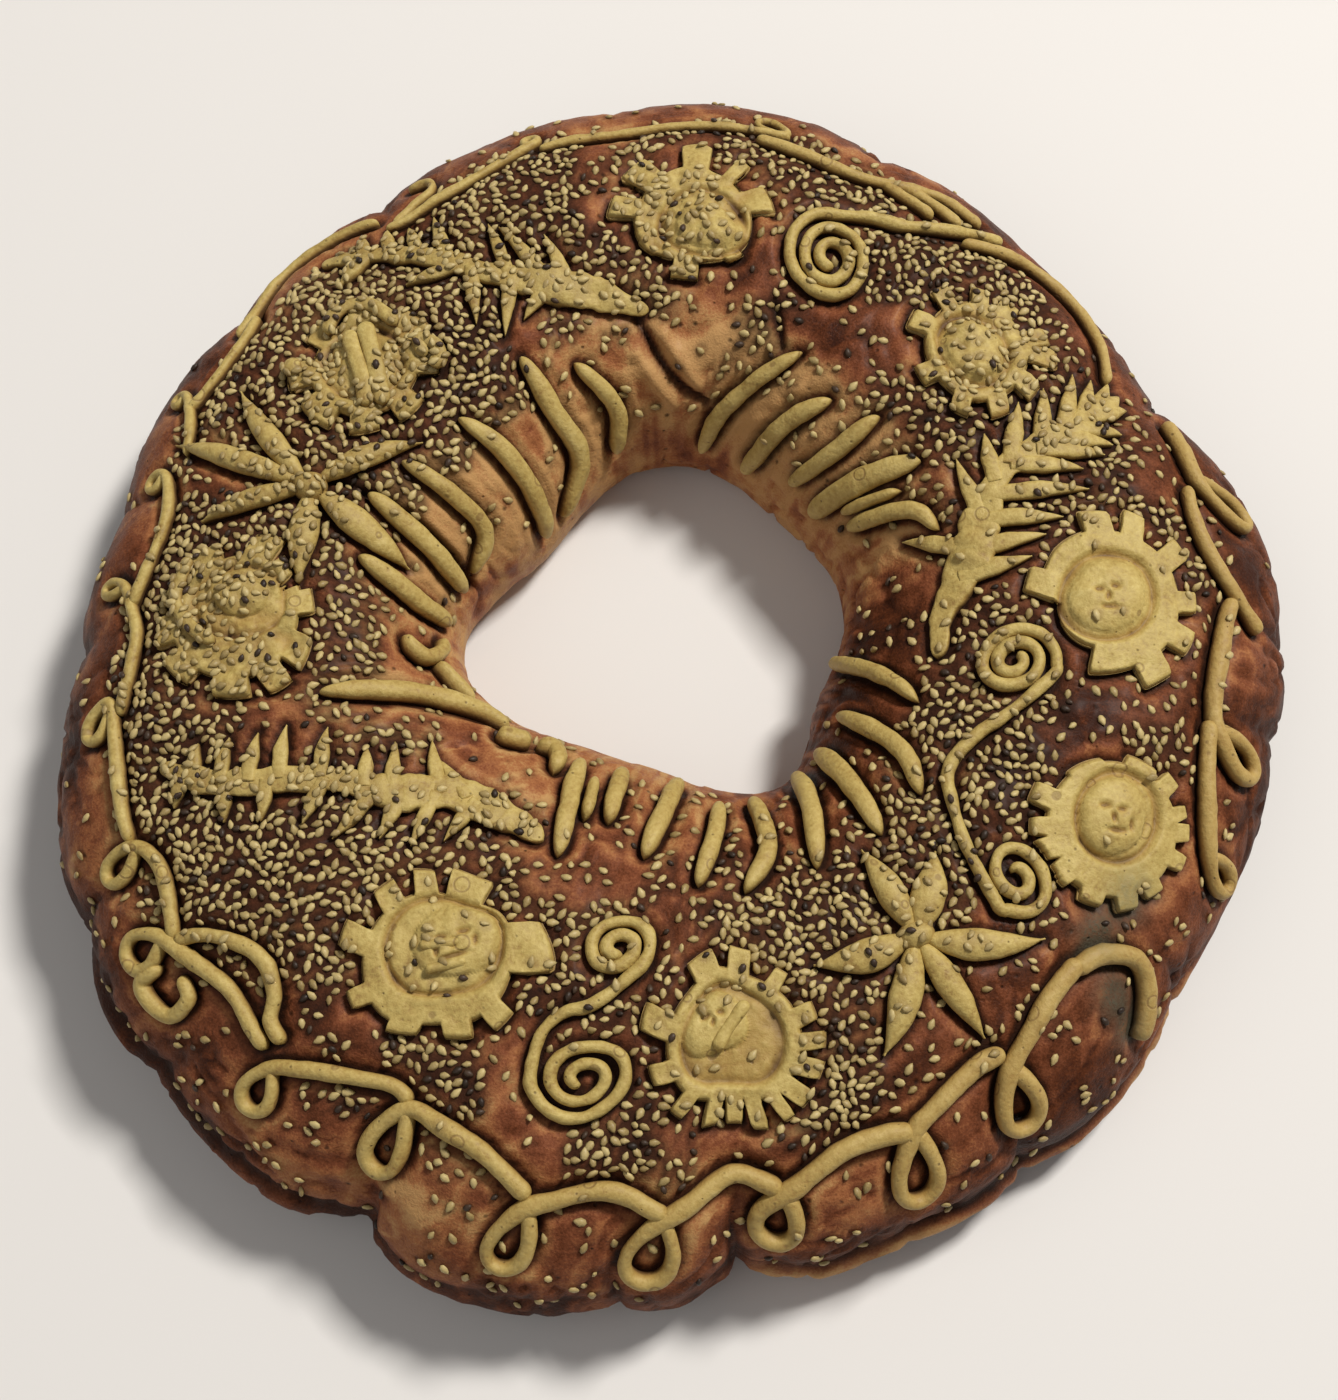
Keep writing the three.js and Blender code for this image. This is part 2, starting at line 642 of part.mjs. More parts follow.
// How far out a wheel reaches at each step round it, drawn in where a neighbour is too close.
function reaches(values, number, neighbours) {
  const [place, radius] = values;
  const steps = edgeSteps(values, number);
  const middle = crustPoint(place);
  const near = neighbours.flatMap((geometry) => samplesNear(geometry, middle, 1.6 * radius));
  const room = steps.map(({ turn }) => {
    let free = SMALLEST_REACH;
    for (let k = 0; k <= SQUEEZE_STEPS; k++) {
      const share = lerp(SMALLEST_REACH, 1, k / SQUEEZE_STEPS);
      const there = shifted(place, radius * share * Math.sin(turn), radius * share * Math.cos(turn));
      const point = crustPoint(there).addScaledVector(crustNormal(there), LIFT + ROSETTE_THICKNESS / 2);
      if (near.some((other) => other.distanceTo(point) < PLATE_CLEARANCE + ROSETTE_THICKNESS / 2)) break;
      free = share;
    }
    return radius * free;
  });
  const count = steps.length;
  return steps.map(({ turn, reach }, i) => {
    return { turn, reach: Math.min(reach, room[i], room[(i + 1) % count], room[(i + count - 1) % count]) };
  });
}

// The least reach of a wheel's edge about a turn.
function edgeNear(steps, turn) {
  const beside = steps.filter((step) => Math.cos(step.turn - turn) > COSINE_BESIDE);
  return Math.min(...beside.map((step) => step.reach));
}

// How far it is from a wheel's middle, at a turn, to an oval round another middle that holds the first.
function ellipseReach(turn, [alongMiddle, outwardMiddle], [alongHalf, outwardHalf]) {
  const along = Math.sin(turn) / alongHalf;
  const outward = Math.cos(turn) / outwardHalf;
  const steep = along ** 2 + outward ** 2;
  const lean = (along * alongMiddle) / alongHalf + (outward * outwardMiddle) / outwardHalf;
  const rest = 1 - (alongMiddle / alongHalf) ** 2 - (outwardMiddle / outwardHalf) ** 2;
  return (lean + Math.sqrt(lean ** 2 + steep * rest)) / steep;
}

// A toothed wheel of dough with a button in a shallow cup. The profile's outer part is in shares of the
// wheel's reach above 2, its inner part in shares of the button's half sizes, drawn in to stay off the edge.
function rosette(values, number, neighbours) {
  const [place, , , , [alongMiddle, outwardMiddle], [buttonAlong, buttonOutward], buttonHeight] = values;
  const outer = (share) => 2 + share;
  const profile = [
    new THREE.Vector2(0, 0),
    new THREE.Vector2(outer(0.55), 0),
    new THREE.Vector2(outer(1), 0),
    new THREE.Vector2(outer(1), ROSETTE_THICKNESS),
    new THREE.Vector2(CUP_SHARE, ROSETTE_THICKNESS),
    new THREE.Vector2(1, CUP_FLOOR),
    new THREE.Vector2(BUTTON_SHOULDER[0], BUTTON_SHOULDER[1] * buttonHeight),
    new THREE.Vector2(0, buttonHeight),
  ];
  const steps = reaches(values, number, neighbours);
  return pressed(profile, steps.length, place, (vertex, round) => {
    const far = Math.hypot(vertex.x, vertex.z);
    const { turn, reach } = steps[Math.round(round * steps.length) % steps.length];
    if (far > 2) return [(far - 2) * reach * Math.sin(turn), (far - 2) * reach * Math.cos(turn)];
    if (far < 0.01) return vertex.y < 0.01 ? [0, 0] : [alongMiddle, outwardMiddle];
    const over = clamp((CUP_SHARE - far) / (CUP_SHARE - BUTTON_SHOULDER[0]), 0, 1);
    const rest = [alongMiddle * (1 - over), outwardMiddle * (1 - over)];
    const ring = ellipseReach(turn, rest, [buttonAlong * far, buttonOutward * far]);
    const along = alongMiddle * over + ring * Math.sin(turn);
    const outward = outwardMiddle * over + ring * Math.cos(turn);
    const edge = edgeNear(steps, Math.atan2(along, outward));
    const limit = edge * lerp(INNER_LIMITS[0], INNER_LIMITS[1], far / CUP_SHARE);
    const drawn = Math.min(1, limit / Math.hypot(along, outward));
    return [along * drawn, outward * drawn];
  });
}

function knob(place, [along, outward], height) {
  const profile = [
    new THREE.Vector2(0, 0),
    new THREE.Vector2(1, 0),
    new THREE.Vector2(STAR_KNOB_SHOULDER, height * STAR_KNOB_SHOULDER),
    new THREE.Vector2(0, height),
  ];
  return pressed(profile, STAR_KNOB_STEPS, place, (vertex) => [vertex.x * along, vertex.z * outward]);
}

// Six spindle petals round a knob.
function star({ middle, knobSizes, petals }) {
  const spindles = petals.map(([halfWidth, tip]) =>
    strand(straightRoute(middle, tip), halfWidth, PETAL_THICKNESS, PETAL_STEPS, petalTaper),
  );
  return joined([knob(middle, knobSizes, STAR_KNOB_HEIGHT), ...spindles]);
}

// The places along a coil from its middle outwards.
function coilPlaces([middle, along, outward, turns, leaving]) {
  const count = Math.round(turns * COIL_STEPS_A_TURN);
  return Array.from({ length: count + 1 }, (_, i) => {
    const share = i / count;
    const far = lerp(COIL_START_SHARE, 1, share);
    const turn = degToRad(leaving + 360 * turns * (1 - share));
    return shifted(middle, along * far * Math.sin(turn), outward * far * Math.cos(turn));
  });
}

function spiral({ coil, tail, second }) {
  const places = [...coilPlaces(coil), ...tail];
  if (second) places.push(...coilPlaces(second).reverse());
  return strand(steppedRoute(places), COIL_HALF_WIDTH, COIL_THICKNESS, places.length - 1, evenTaper);
}

// A flat stem with a pointed leaflet on some of its steps on each side, closed by walls round its outline.
function frond({ stem, widths, left, right }) {
  const route = smoothRoute(stem);
  const widthAt = (share) => {
    const far = share * (widths.length - 1);
    const step = Math.min(Math.floor(far), widths.length - 2);
    return lerp(widths[step], widths[step + 1], far - step);
  };
  const small = 0.004;
  const stemEdge = (share, way) => {
    const place = route(share);
    const [round, out] = unitsAt(place);
    const [ahead, behind] = [route(share + small), route(share - small)];
    const heading = new THREE.Vector2(degToRad(ahead[0] - behind[0]) * round, (ahead[1] - behind[1]) * out);
    const aside = heading.normalize().multiplyScalar(way * widthAt(share));
    return shifted(place, -aside.y, aside.x);
  };

  const points = [];
  const faces = [];
  const corner = (place, thickness) => {
    const normal = crustNormal(place);
    points.push(crustPoint(place).addScaledVector(normal, FROND_LIFT));
    points.push(crustPoint(place).addScaledVector(normal, FROND_LIFT + thickness));
    return points.length - 2;
  };
  const flat = (a, b, c) => faces.push(a + 1, b + 1, c + 1, a, c, b);
  const wall = (a, b) => faces.push(a, b, b + 1, a, b + 1, a + 1);

  const shares = Array.from({ length: STEM_STEPS + 1 }, (_, i) => i / STEM_STEPS);
  const middles = shares.map((share) => corner(route(share), FROND_THICKNESS));
  const lefts = shares.map((share) => corner(stemEdge(share, -1), LEAFLET_THICKNESS));
  const rights = shares.map((share) => corner(stemEdge(share, 1), LEAFLET_THICKNESS));
  const tipsByStep = (leaflets) => {
    let last = -1;
    return new Map(
      leaflets.map(([share, tip]) => {
        last = Math.max(last + 1, Math.floor(share * STEM_STEPS));
        return [last, corner(tip, LEAFLET_THICKNESS)];
      }),
    );
  };
  const leftTips = tipsByStep(left);
  const rightTips = tipsByStep(right);

  for (let i = 0; i < STEM_STEPS; i++) {
    flat(middles[i], middles[i + 1], lefts[i + 1]);
    flat(middles[i], lefts[i + 1], lefts[i]);
    flat(rights[i], rights[i + 1], middles[i + 1]);
    flat(rights[i], middles[i + 1], middles[i]);
    const leftTip = leftTips.get(i);
    if (leftTip === undefined) {
      wall(lefts[i + 1], lefts[i]);
    } else {
      flat(lefts[i], lefts[i + 1], leftTip);
      wall(lefts[i + 1], leftTip);
      wall(leftTip, lefts[i]);
    }
    const rightTip = rightTips.get(i);
    if (rightTip === undefined) {
      wall(rights[i], rights[i + 1]);
    } else {
      flat(rights[i], rightTip, rights[i + 1]);
      wall(rights[i], rightTip);
      wall(rightTip, rights[i + 1]);
    }
  }
  wall(lefts[0], middles[0]);
  wall(middles[0], rights[0]);
  wall(rights[STEM_STEPS], middles[STEM_STEPS]);
  wall(middles[STEM_STEPS], lefts[STEM_STEPS]);

  const geometry = new THREE.BufferGeometry().setFromPoints(points);
  geometry.setIndex(faces);
  geometry.computeVertexNormals();
  return geometry;
}

// The bare ring of dough: a torus whose section becomes the crust and, with its last step, the flat base.
function bareRing() {
  const torus = new THREE.TorusGeometry(1, 0.5, RING_STEPS_ACROSS, RING_STEPS_ROUND);
  return remapped(torus, (vertex, round, section) => {
    const step = Math.round(section * RING_STEPS_ACROSS) % RING_STEPS_ACROSS;
    const across = lerp(BASE_ACROSS, -BASE_ACROSS, step / (RING_STEPS_ACROSS - 1));
    return crustPoint([(round % 1) * 360, across]);
  });
}

// Seeds strewn over the upper crust by a seeded draw, clear of every ornament.
function strewnSeeds(ornaments) {
  const taken = ornaments.flatMap((geometry) => {
    const position = geometry.attributes.position;
    const corner = (_, i) => new THREE.Vector3().fromBufferAttribute(position, i);
    return Array.from({ length: position.count }, corner);
  });
  const wheels = ROSETTES.map(([place, radius]) => [crustPoint(place), radius]);
  const seeds = [];
  seededRandom(SEED_DRAW);
  while (seeds.length < SEED_COUNT) {
    const place = [360 * seededRandom(), lerp(...SEED_BAND, seededRandom())];
    const turn = Math.PI * seededRandom();
    const point = crustPoint(place);
    const onWheel = wheels.some(([middle, radius]) => middle.distanceTo(point) < radius + SEED_CLEARANCE);
    if (onWheel || taken.some((other) => other.distanceTo(point) < SEED_CLEARANCE)) continue;
    taken.push(point);
    const normal = crustNormal(place);
    const round = new THREE.Vector3(0, 0, 1).cross(normal).normalize();
    const outward = round.clone().cross(normal);
    const along = round.clone().multiplyScalar(Math.cos(turn)).addScaledVector(outward, Math.sin(turn));
    const beside = normal.clone().cross(along);
    const grain = new THREE.SphereGeometry(1, SEED_SIDES, SEED_RINGS);
    seeds.push(
      remapped(grain, (vertex) =>
        point
          .clone()
          .addScaledVector(along, vertex.x * SEED_HALF_LENGTH)
          .addScaledVector(normal, vertex.y * SEED_HALF_HEIGHT)
          .addScaledVector(beside, -vertex.z * SEED_HALF_WIDTH),
      ),
    );
  }
  return seeds;
}

// The pieces, each with its own finish.
const loaf = new THREE.Group();

function add(name, geometry, [color, roughness]) {
  const material = new THREE.MeshStandardMaterial({ color, roughness, metalness: 0 });
  const mesh = new THREE.Mesh(geometry, material);
  mesh.name = name;
  loaf.add(mesh);
  return geometry;
}

const numbered = (kind, i) => kind + "_" + String(i + 1).padStart(2, "0");
const PALE_DOUGH = ["#c9b26f", 0.6];
const BROWN_CRUST = ["#8a4c2b", 0.35];

const crestOrnaments = [
  ...ROPES.map((strands, i) => add(numbered("rim_rope", i), rope(strands, i), PALE_DOUGH)),
  ...FINGERS.map((values, i) => add(numbered("hole_finger", i), finger(values), PALE_DOUGH)),
  add("forked_finger", joined(FORKED_FINGER.map(finger)), PALE_DOUGH),
  ...STARS.map((values, i) => add(numbered("star", i), star(values), PALE_DOUGH)),
  ...SPIRALS.map((values, i) => add(numbered("spiral", i), spiral(values), PALE_DOUGH)),
  ...FRONDS.map((values, i) => add(numbered("frond", i), frond(values), PALE_DOUGH)),
];
const ornaments = ROSETTES.reduce((laid, values, i) => {
  return [...laid, add(numbered("rosette", i), rosette(values, i + 1, laid), PALE_DOUGH)];
}, crestOrnaments);

const ring = [bareRing(), ...SUNK_STRANDS.map(sunkStrand), ...strewnSeeds(ornaments)];
add("bread_ring", joined(ring), BROWN_CRUST);

export default loaf;
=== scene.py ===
import bpy
import numpy as np
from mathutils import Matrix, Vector
from mathutils.bvhtree import BVHTree


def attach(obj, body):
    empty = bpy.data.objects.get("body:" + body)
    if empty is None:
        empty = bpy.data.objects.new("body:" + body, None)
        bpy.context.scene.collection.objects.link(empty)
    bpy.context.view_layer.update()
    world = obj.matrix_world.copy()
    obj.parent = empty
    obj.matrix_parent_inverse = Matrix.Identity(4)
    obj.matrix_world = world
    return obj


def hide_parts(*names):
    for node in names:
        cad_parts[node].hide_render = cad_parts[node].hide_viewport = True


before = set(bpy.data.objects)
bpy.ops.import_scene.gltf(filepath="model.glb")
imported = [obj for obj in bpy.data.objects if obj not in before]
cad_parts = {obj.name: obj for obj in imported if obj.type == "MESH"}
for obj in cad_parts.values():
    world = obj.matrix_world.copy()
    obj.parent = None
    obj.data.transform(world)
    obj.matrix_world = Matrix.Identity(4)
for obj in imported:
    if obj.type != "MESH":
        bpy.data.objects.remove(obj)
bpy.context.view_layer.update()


# The loaf: enriched dough rolled thick, joined into a ring by hand and risen on a flat tray, so that its
# rim and its hole wander. A place on the crust is an angle in degrees round the ring, and across it -1 at
# the hole's wall, 0 on the crest and 1 at the rim's wall. Sizes are in millimetres.
MM = 0.001
HALF_STEP = 0.01
RING_HEIGHT = 60.0
BULGE_HEIGHT = 18.0
CREST_SHARE = 0.44
RIM_RADIUS = 170.0
RIM_WAVES = (
    (1, 4.6, -151), (2, 4.5, 132), (3, 4, -42), (4, 2, -4), (5, 1.5, 28), (6, 1.5, 87), (7, 1.3, 4),
)
HOLE_RADIUS = 49.6
HOLE_WAVES = ((1, 14, 98), (2, 2.3, -73), (3, 4.8, -163), (4, 2.4, 29), (5, 2.5, 129))
# The rim is pinched into lobes: each pinch is its angle, its depth and its half width in degrees.
RIM_PINCHES = (
    (2, 2.5, 5), (29, 3.5, 6), (69, 2.5, 5), (96, 2, 5), (122, 2, 3), (141, 2.5, 4), (165, 2.5, 5),
    (180, 1.5, 3), (205, 3, 4), (220, 2, 4), (241, 7, 4.5), (264, 3, 4), (275.5, 7, 4), (304, 3, 4),
    (326, 2, 5), (352, 2.5, 5),
)


def waved(angle, mean, waves):
    """The mean plus a cosine for each wave, given as its count round the ring, its size and its phase."""
    turn = np.radians(angle)
    return mean + sum(size * np.cos(count * turn - np.radians(phase)) for count, size, phase in waves)


def degrees_apart(angle, other):
    """Degrees from one angle to another, from -180 to 180."""
    return (angle - other + 180) % 360 - 180


def bell(value, half_width):
    """1 where the value is 0, falling away on both sides like a bell of that half width."""
    return np.exp(-((value / half_width) ** 2))


def rim_radius(angle):
    """The waved rim less a bell-shaped pinch at each place between two lobes."""
    pinch = sum(deep * bell(degrees_apart(angle, at), wide) for at, deep, wide in RIM_PINCHES)
    return waved(angle, RIM_RADIUS, RIM_WAVES) - pinch


def section_radii(angle):
    """How far out the crest lies, and how far it is from the crest in to the hole and out to the rim."""
    rim = rim_radius(angle)
    hole = waved(angle, HOLE_RADIUS, HOLE_WAVES)
    crest = hole + CREST_SHARE * (rim - hole)
    return crest, crest - hole, rim - crest


def crust_point(angle, across):
    """Half an ellipse on each side of the crest, carried round the ring: sine outward, cosine upward."""
    angle, across = np.broadcast_arrays(np.asarray(angle, float), np.asarray(across, float))
    crest, inward, outward = section_radii(angle)
    tilt = across * np.pi / 2
    radius = crest + np.where(across > 0, outward, inward) * np.sin(tilt)
    height = BULGE_HEIGHT + (RING_HEIGHT - BULGE_HEIGHT) * np.cos(tilt)
    turn = np.radians(angle)
    return np.stack([radius * np.cos(turn), radius * np.sin(turn), height], axis=-1)


def unit(vectors):
    """Vectors scaled to a length of one."""
    return vectors / np.linalg.norm(vectors, axis=-1, keepdims=True)


def crust_steps(angle, across):
    """Short steps on the crust, round the ring and outward."""
    onward = crust_point(angle + HALF_STEP, across) - crust_point(angle - HALF_STEP, across)
    return onward, crust_point(angle, across + HALF_STEP) - crust_point(angle, across - HALF_STEP)


def crust_normal(angle, across):
    """The direction out of the crust: the step outward crossed with the step round the ring."""
    onward, outward = crust_steps(angle, across)
    return unit(np.cross(outward, onward))


def shifted(angle, across, along, outward):
    """The place some millimetres along the ring and outward from another, by the crust's scale there."""
    _, step = crust_steps(angle, across)
    there = across + outward / (np.linalg.norm(step, axis=-1) / (2 * HALF_STEP))
    radius = np.linalg.norm(crust_point(angle, there)[..., :2], axis=-1)
    return angle + np.degrees(along / radius), there


# Rim ropes: pale dough rolled thin between the hands and laid along the shoulder of the loaf like
# joined-up writing: each run starts under the loop before it, goes clockwise, turns out over the rim in a
# loop and comes back to where it crossed. They are thinner at the far side and on the left.
ROPE_HALF_WIDTH = 1.95
ROPE_THICKENING = 0.6
ROPE_RIGHT_THICKENING = 0.22
ROPE_HEIGHT_SHARE = 1.75
ROPE_TUCK = 2.0
LOOP_THINNING, LOOP_THINNED_OVER = 0.2, 0.12
ROPE_WAVE, ROPE_WAVE_LENGTH = 0.07, 31.0
ROPE_BLUNT = 3.0
ROPE_WIDTHS = (0.92, 1.08)
ROPE_TOAST, ROPE_TOAST_SWING, ROPE_BROWNEST = 0.45, 0.4, 355.0
STRAND_SIDES = 16
STRAND_SINK = 1.6
STRAND_SPACING = 0.6
WIDEST_SHARE = 0.42
TIP_SHARE = 0.12
ACROSS_IN_DEGREES = 47.0
# Each strand is its start's angle and place across, the same where it crosses itself, its bow towards the
# crest and, where it has a loop, the loop's length and half width in millimetres and its lean in degrees
# from straight outward. Extras are strands by the places along them.
ROPES = (
    ((23.5, 0.6, 18, 0.5, 0.03, 21, 4.5, -49),),
    ((15, 0.45, 1, 0.62, 0.06),),
    ((2, 0.5, 349.3, 0.48, 0.05, 20, 5, -24),),
    ((348, 0.46, 336.8, 0.61, 0, 15, 4.5, -14),),
    ((316.5, 0.39, 305.8, 0.48, 0.02, 21, 7, -14),),
    ((304, 0.44, 294, 0.48, 0.02, 23, 7, -13),),
    ((292, 0.49, 280.3, 0.55, 0.04, 17.5, 6.8, -19),),
    ((278, 0.545, 268.5, 0.54, 0.04, 21, 7.8, -15),),
    ((267, 0.535, 256, 0.5, 0.06, 21, 6.5, -12),),
    ((254, 0.48, 242, 0.43, 0.07, 22, 6.5, -5),),
    ((240, 0.42, 228.5, 0.5, 0.03, 15, 5.7, 5),),
    ((225, 0.48, 212, 0.49, 0.03, 14.5, 6.4, -6),),
    ((211, 0.47, 202.5, 0.46, 0.04, 16, 4.5, 17),),
    ((200, 0.48, 187, 0.48, 0.02, 13, 4.5, 49),),
    ((187, 0.45, 174.5, 0.5, 0.04, 10, 3, 0),),
    ((175, 0.46, 161, 0.5, 0.05, 9, 3, 40),),
    ((157, 0.44, 151.5, 0.6, 0, 6, 3, 60),),
    ((152, 0.53, 140.5, 0.6, 0.05), (141.5, 0.6, 124, 0.55, -0.08)),
    ((122, 0.48, 104.5, 0.5, 0.05, 6, 3, 60),),
    ((103, 0.45, 78, 0.47, 0.01, 12, 4, 60),),
    ((79.5, 0.41, 62, 0.52, 0.03), (63, 0.48, 57, 0.47, 0)),
    ((53.5, 0.4, 32, 0.48, -0.22),),
)
ROPE_EXTRAS = {
    5: (((318, 0.74), (320.5, 0.69), (322.5, 0.62), (323, 0.55), (322, 0.48), (320, 0.42), (317, 0.39)),),
    12: (
        ((214, 0.55), (214, 0.63), (216, 0.65), (218, 0.63), (218, 0.55), (216, 0.52)),
        ((213, 0.47), (214.5, 0.4), (217.5, 0.355), (221, 0.345), (224, 0.37), (225.5, 0.42), (228, 0.44)),
    ),
    19: (((123, 0.49), (120, 0.5), (117.5, 0.51), (117, 0.58), (119, 0.64)),),
    21: (((67, 0.45), (63.5, 0.425), (60, 0.415)), ((63.5, 0.505), (60, 0.555), (55.5, 0.56))),
}
pieces_laid = []


def lumps(points, size, draw):
    """Smooth noise from -1 to 1: seeded values on a cubic lattice of that size, smoothly blended."""
    cell = points / size
    corner = np.floor(cell).astype(int)
    share = cell - corner
    share = share * share * (3 - 2 * share)
    values = np.random.default_rng(draw).uniform(-1, 1, 4096)
    total = np.zeros(points.shape[:-1])
    for step in np.ndindex(2, 2, 2):
        weight = np.prod(np.where(step, share, 1 - share), axis=-1)
        x, y, z = np.moveaxis(corner + step, -1, 0)
        total += weight * values[(x * 73 + y * 179 + z * 283) % 4096]
    return total


def smooth_step(value, low, high):
    """0 below low, 1 above high, and an S-shaped curve between them."""
    share = np.clip((value - low) / (high - low), 0, 1)
    return share * share * (3 - 2 * share)


def smooth_route(places, steps=24):
    """A Catmull-Rom curve through places, as its angles and its places across."""
    angle, across = np.array(places, float).T
    knots = np.stack([np.degrees(np.unwrap(np.radians(angle))), across * ACROSS_IN_DEGREES], axis=1)
    knots = np.concatenate([[2 * knots[0] - knots[1]], knots, [2 * knots[-1] - knots[-2]]])
    a, b, c, d = (knots[i : len(knots) - 3 + i, None] for i in range(4))
    t = np.linspace(0, 1, steps, endpoint=False)[:, None]
    bend, twist = 2 * a - 5 * b + 4 * c - d, 3 * b - a - 3 * c + d
    curve = b + (c - a) * t / 2 + bend * t**2 / 2 + twist * t**3 / 2
    curve = np.concatenate([curve.reshape(-1, 2), knots[-2:-1]])
    return curve[:, 0], curve[:, 1] / ACROSS_IN_DEGREES


def even_route(angle, across):
    """The route in even steps on the crust, closer at both ends, with the steps' shares and its length."""
    steps = np.linalg.norm(np.diff(crust_point(angle, across), axis=0), axis=1)
    far = np.concatenate([[0], np.cumsum(steps)])
    even = np.linspace(0, 1, max(10, int(far[-1] / STRAND_SPACING)))
    share = 0.6 * even + 0.4 * (1 - np.cos(np.pi * even)) / 2
    return np.interp(share * far[-1], far, angle), np.interp(share * far[-1], far, across), share, far[-1]


def halved(quads, triangles):
    """Four-sided faces cut into triangles, with the triangles after them."""
    return np.concatenate([quads[:, [0, 1, 2]], quads[:, [0, 2, 3]], triangles])


def skin_of(rows, flank_and_shade):
    """A closed skin over rows of points: each row is a ring, and a middle point closes the first and the
    last. Its faces are turned to look outward. The value at each point says how low on the piece it lies
    or how deep in a hollow; the dough turns it into browning and painted shade."""
    count, around = rows.shape[:2]
    points = np.concatenate([rows.reshape(-1, 3), rows[[0, -1]].mean(axis=1)])
    values = np.concatenate([flank_and_shade.ravel(), flank_and_shade[[0, -1]].mean(axis=1)])
    row, column = np.meshgrid(np.arange(count - 1) * around, np.arange(around), indexing="ij")
    after = (column + 1) % around
    corners = (row + column, row + after, row + around + after, row + around + column)
    quads = np.stack(corners, axis=-1).reshape(-1, 4)
    ring = np.arange(around)
    following = np.roll(ring, -1)
    middle, last = np.full(around, count * around), (count - 1) * around
    first_cap = np.stack([middle, following, ring], axis=1)
    last_cap = np.stack([middle + 1, last + ring, last + following], axis=1)
    triangles = np.concatenate([first_cap, last_cap])
    a, b, c = np.moveaxis(points[halved(quads, triangles)], 1, 0)
    if np.einsum("ij,ij->", a, np.cross(b, c)) < 0:
        quads, triangles = quads[:, ::-1], triangles[:, ::-1]
    return points, quads, triangles, values


def strand(angle, across, half_width, height, size, lift=0.0, square=1.0):
    """A rolled strand: a rounded section, widest below its middle and sunk into the crust, carried along a
    route. Size narrows it along its length, square below 1 flattens it and lumps make it uneven."""
    point = crust_point(angle, across)
    normal = crust_normal(angle, across)
    side = unit(np.cross(np.gradient(point, axis=0), normal))
    swing = np.linspace(0, 2 * np.pi, STRAND_SIDES, endpoint=False)
    cosine, sine = (np.sign(wave) * np.abs(wave) ** square for wave in (np.cos(swing), np.sin(swing)))
    top = height * np.sqrt(size)[:, None]
    widest = WIDEST_SHARE * top
    rise = widest + np.where(sine > 0, top - widest, widest + STRAND_SINK) * sine
    width = half_width * size[:, None] * cosine
    rows = point[:, None] + side[:, None] * width[..., None] + normal[:, None] * (rise + lift)[..., None]
    outward = unit(rows - (point + normal * widest)[:, None] + 1e-6)
    bump = 0.3 * lumps(rows, 6.0, 11) + 0.16 * lumps(rows, 2.4, 12)
    rows = rows + outward * (bump * size[:, None])[..., None]
    return skin_of(rows, 1 - np.clip(rise / top, 0, 1))


def round_ends(share, length, blunt):
    """1 along the strand and a quarter circle down to its tips over the blunt length."""
    near = np.clip(np.minimum(share, 1 - share) * length / blunt, 0, 1)
    return np.maximum(np.sqrt(1 - (1 - near) ** 2), TIP_SHARE)


def cos_of(angle):
    """The cosine of an angle in degrees."""
    return np.cos(np.radians(angle))


def sin_of(angle):
    """The sine of an angle in degrees."""
    return np.sin(np.radians(angle))


def rope_route(start, start_across, end, end_across, bow, length=0, half_width=0, lean=0):
    """A run that bows towards the crest and slips outward by the square of its share, then a teardrop from
    the crossing: (1 - cos t) / 2 of its length outward and sin t sin(t / 2) of its half width aside. A
    running mean rounds the corner. Also gives the share of the length at which the loop begins."""
    run = np.linspace(0, 1, 120)
    start += ROPE_TUCK
    angle = start - (start - end) % 360 * run
    across = start_across + (end_across - start_across) * run**2 - bow * np.sin(np.pi * run)
    if length:
        turn = np.linspace(0, 2 * np.pi, 150)[1:]
        out = length * (1 - np.cos(turn)) / 2
        aside = -half_width * np.sin(turn) * np.sin(turn / 2)
        along = out * sin_of(lean) + aside * cos_of(lean)
        loop = shifted(angle[-1], across[-1], along, out * cos_of(lean) - aside * sin_of(lean))
        angle, across = np.append(angle, loop[0]), np.append(across, loop[1])
    steps = np.linalg.norm(np.diff(crust_point(angle, across), axis=0), axis=1)
    loop_from = steps[: len(run) - 1].sum() / steps.sum()
    angle, across, _, _ = even_route(angle, across)
    reach = min(5, len(angle) // 4)
    window = np.full(2 * reach + 1, 1 / (2 * reach + 1))
    padded = (np.pad(values, reach, mode="reflect", reflect_type="odd") for values in (angle, across))
    angle, across = (np.convolve(values, window, "valid") for values in padded)
    return angle, across, loop_from


def connect(tree, node, inputs):
    """Sets a node's inputs to values, or links them to other nodes' outputs."""
    for name, value in inputs.items():
        if isinstance(value, bpy.types.NodeSocket):
            tree.links.new(value, node.inputs[name])
        else:
            node.inputs[name].default_value = value


def shader_node(tree, kind, inputs, **settings):
    """A new node with its settings and inputs."""
    made = tree.nodes.new(kind)
    for name, value in settings.items():
        setattr(made, name, value)
    connect(tree, made, inputs)
    return made


def tone_ramp(tree, factor, *stops):
    """A colour ramp over a factor, from stops of (place, red, green, blue)."""
    ramp = shader_node(tree, "ShaderNodeValToRGB", {"Fac": factor})
    elements = ramp.color_ramp.elements
    while len(elements) < len(stops):
        elements.new(0.5)
    for element, (place, *colour) in zip(elements, stops):
        element.position = place
        element.color = (*colour, 1)
    return ramp.outputs["Color"]


def tinted(tree, colour, *tints):
    """A colour blended into others in turn, each a factor, how strongly it counts and the other colour."""
    for factor, strength, other in tints:
        share = reckoned(tree, "MULTIPLY", factor, strength)
        inputs = {0: share, 6: colour, 7: (*other, 1)}
        colour = shader_node(tree, "ShaderNodeMix", inputs, data_type="RGBA").outputs[2]
    return colour


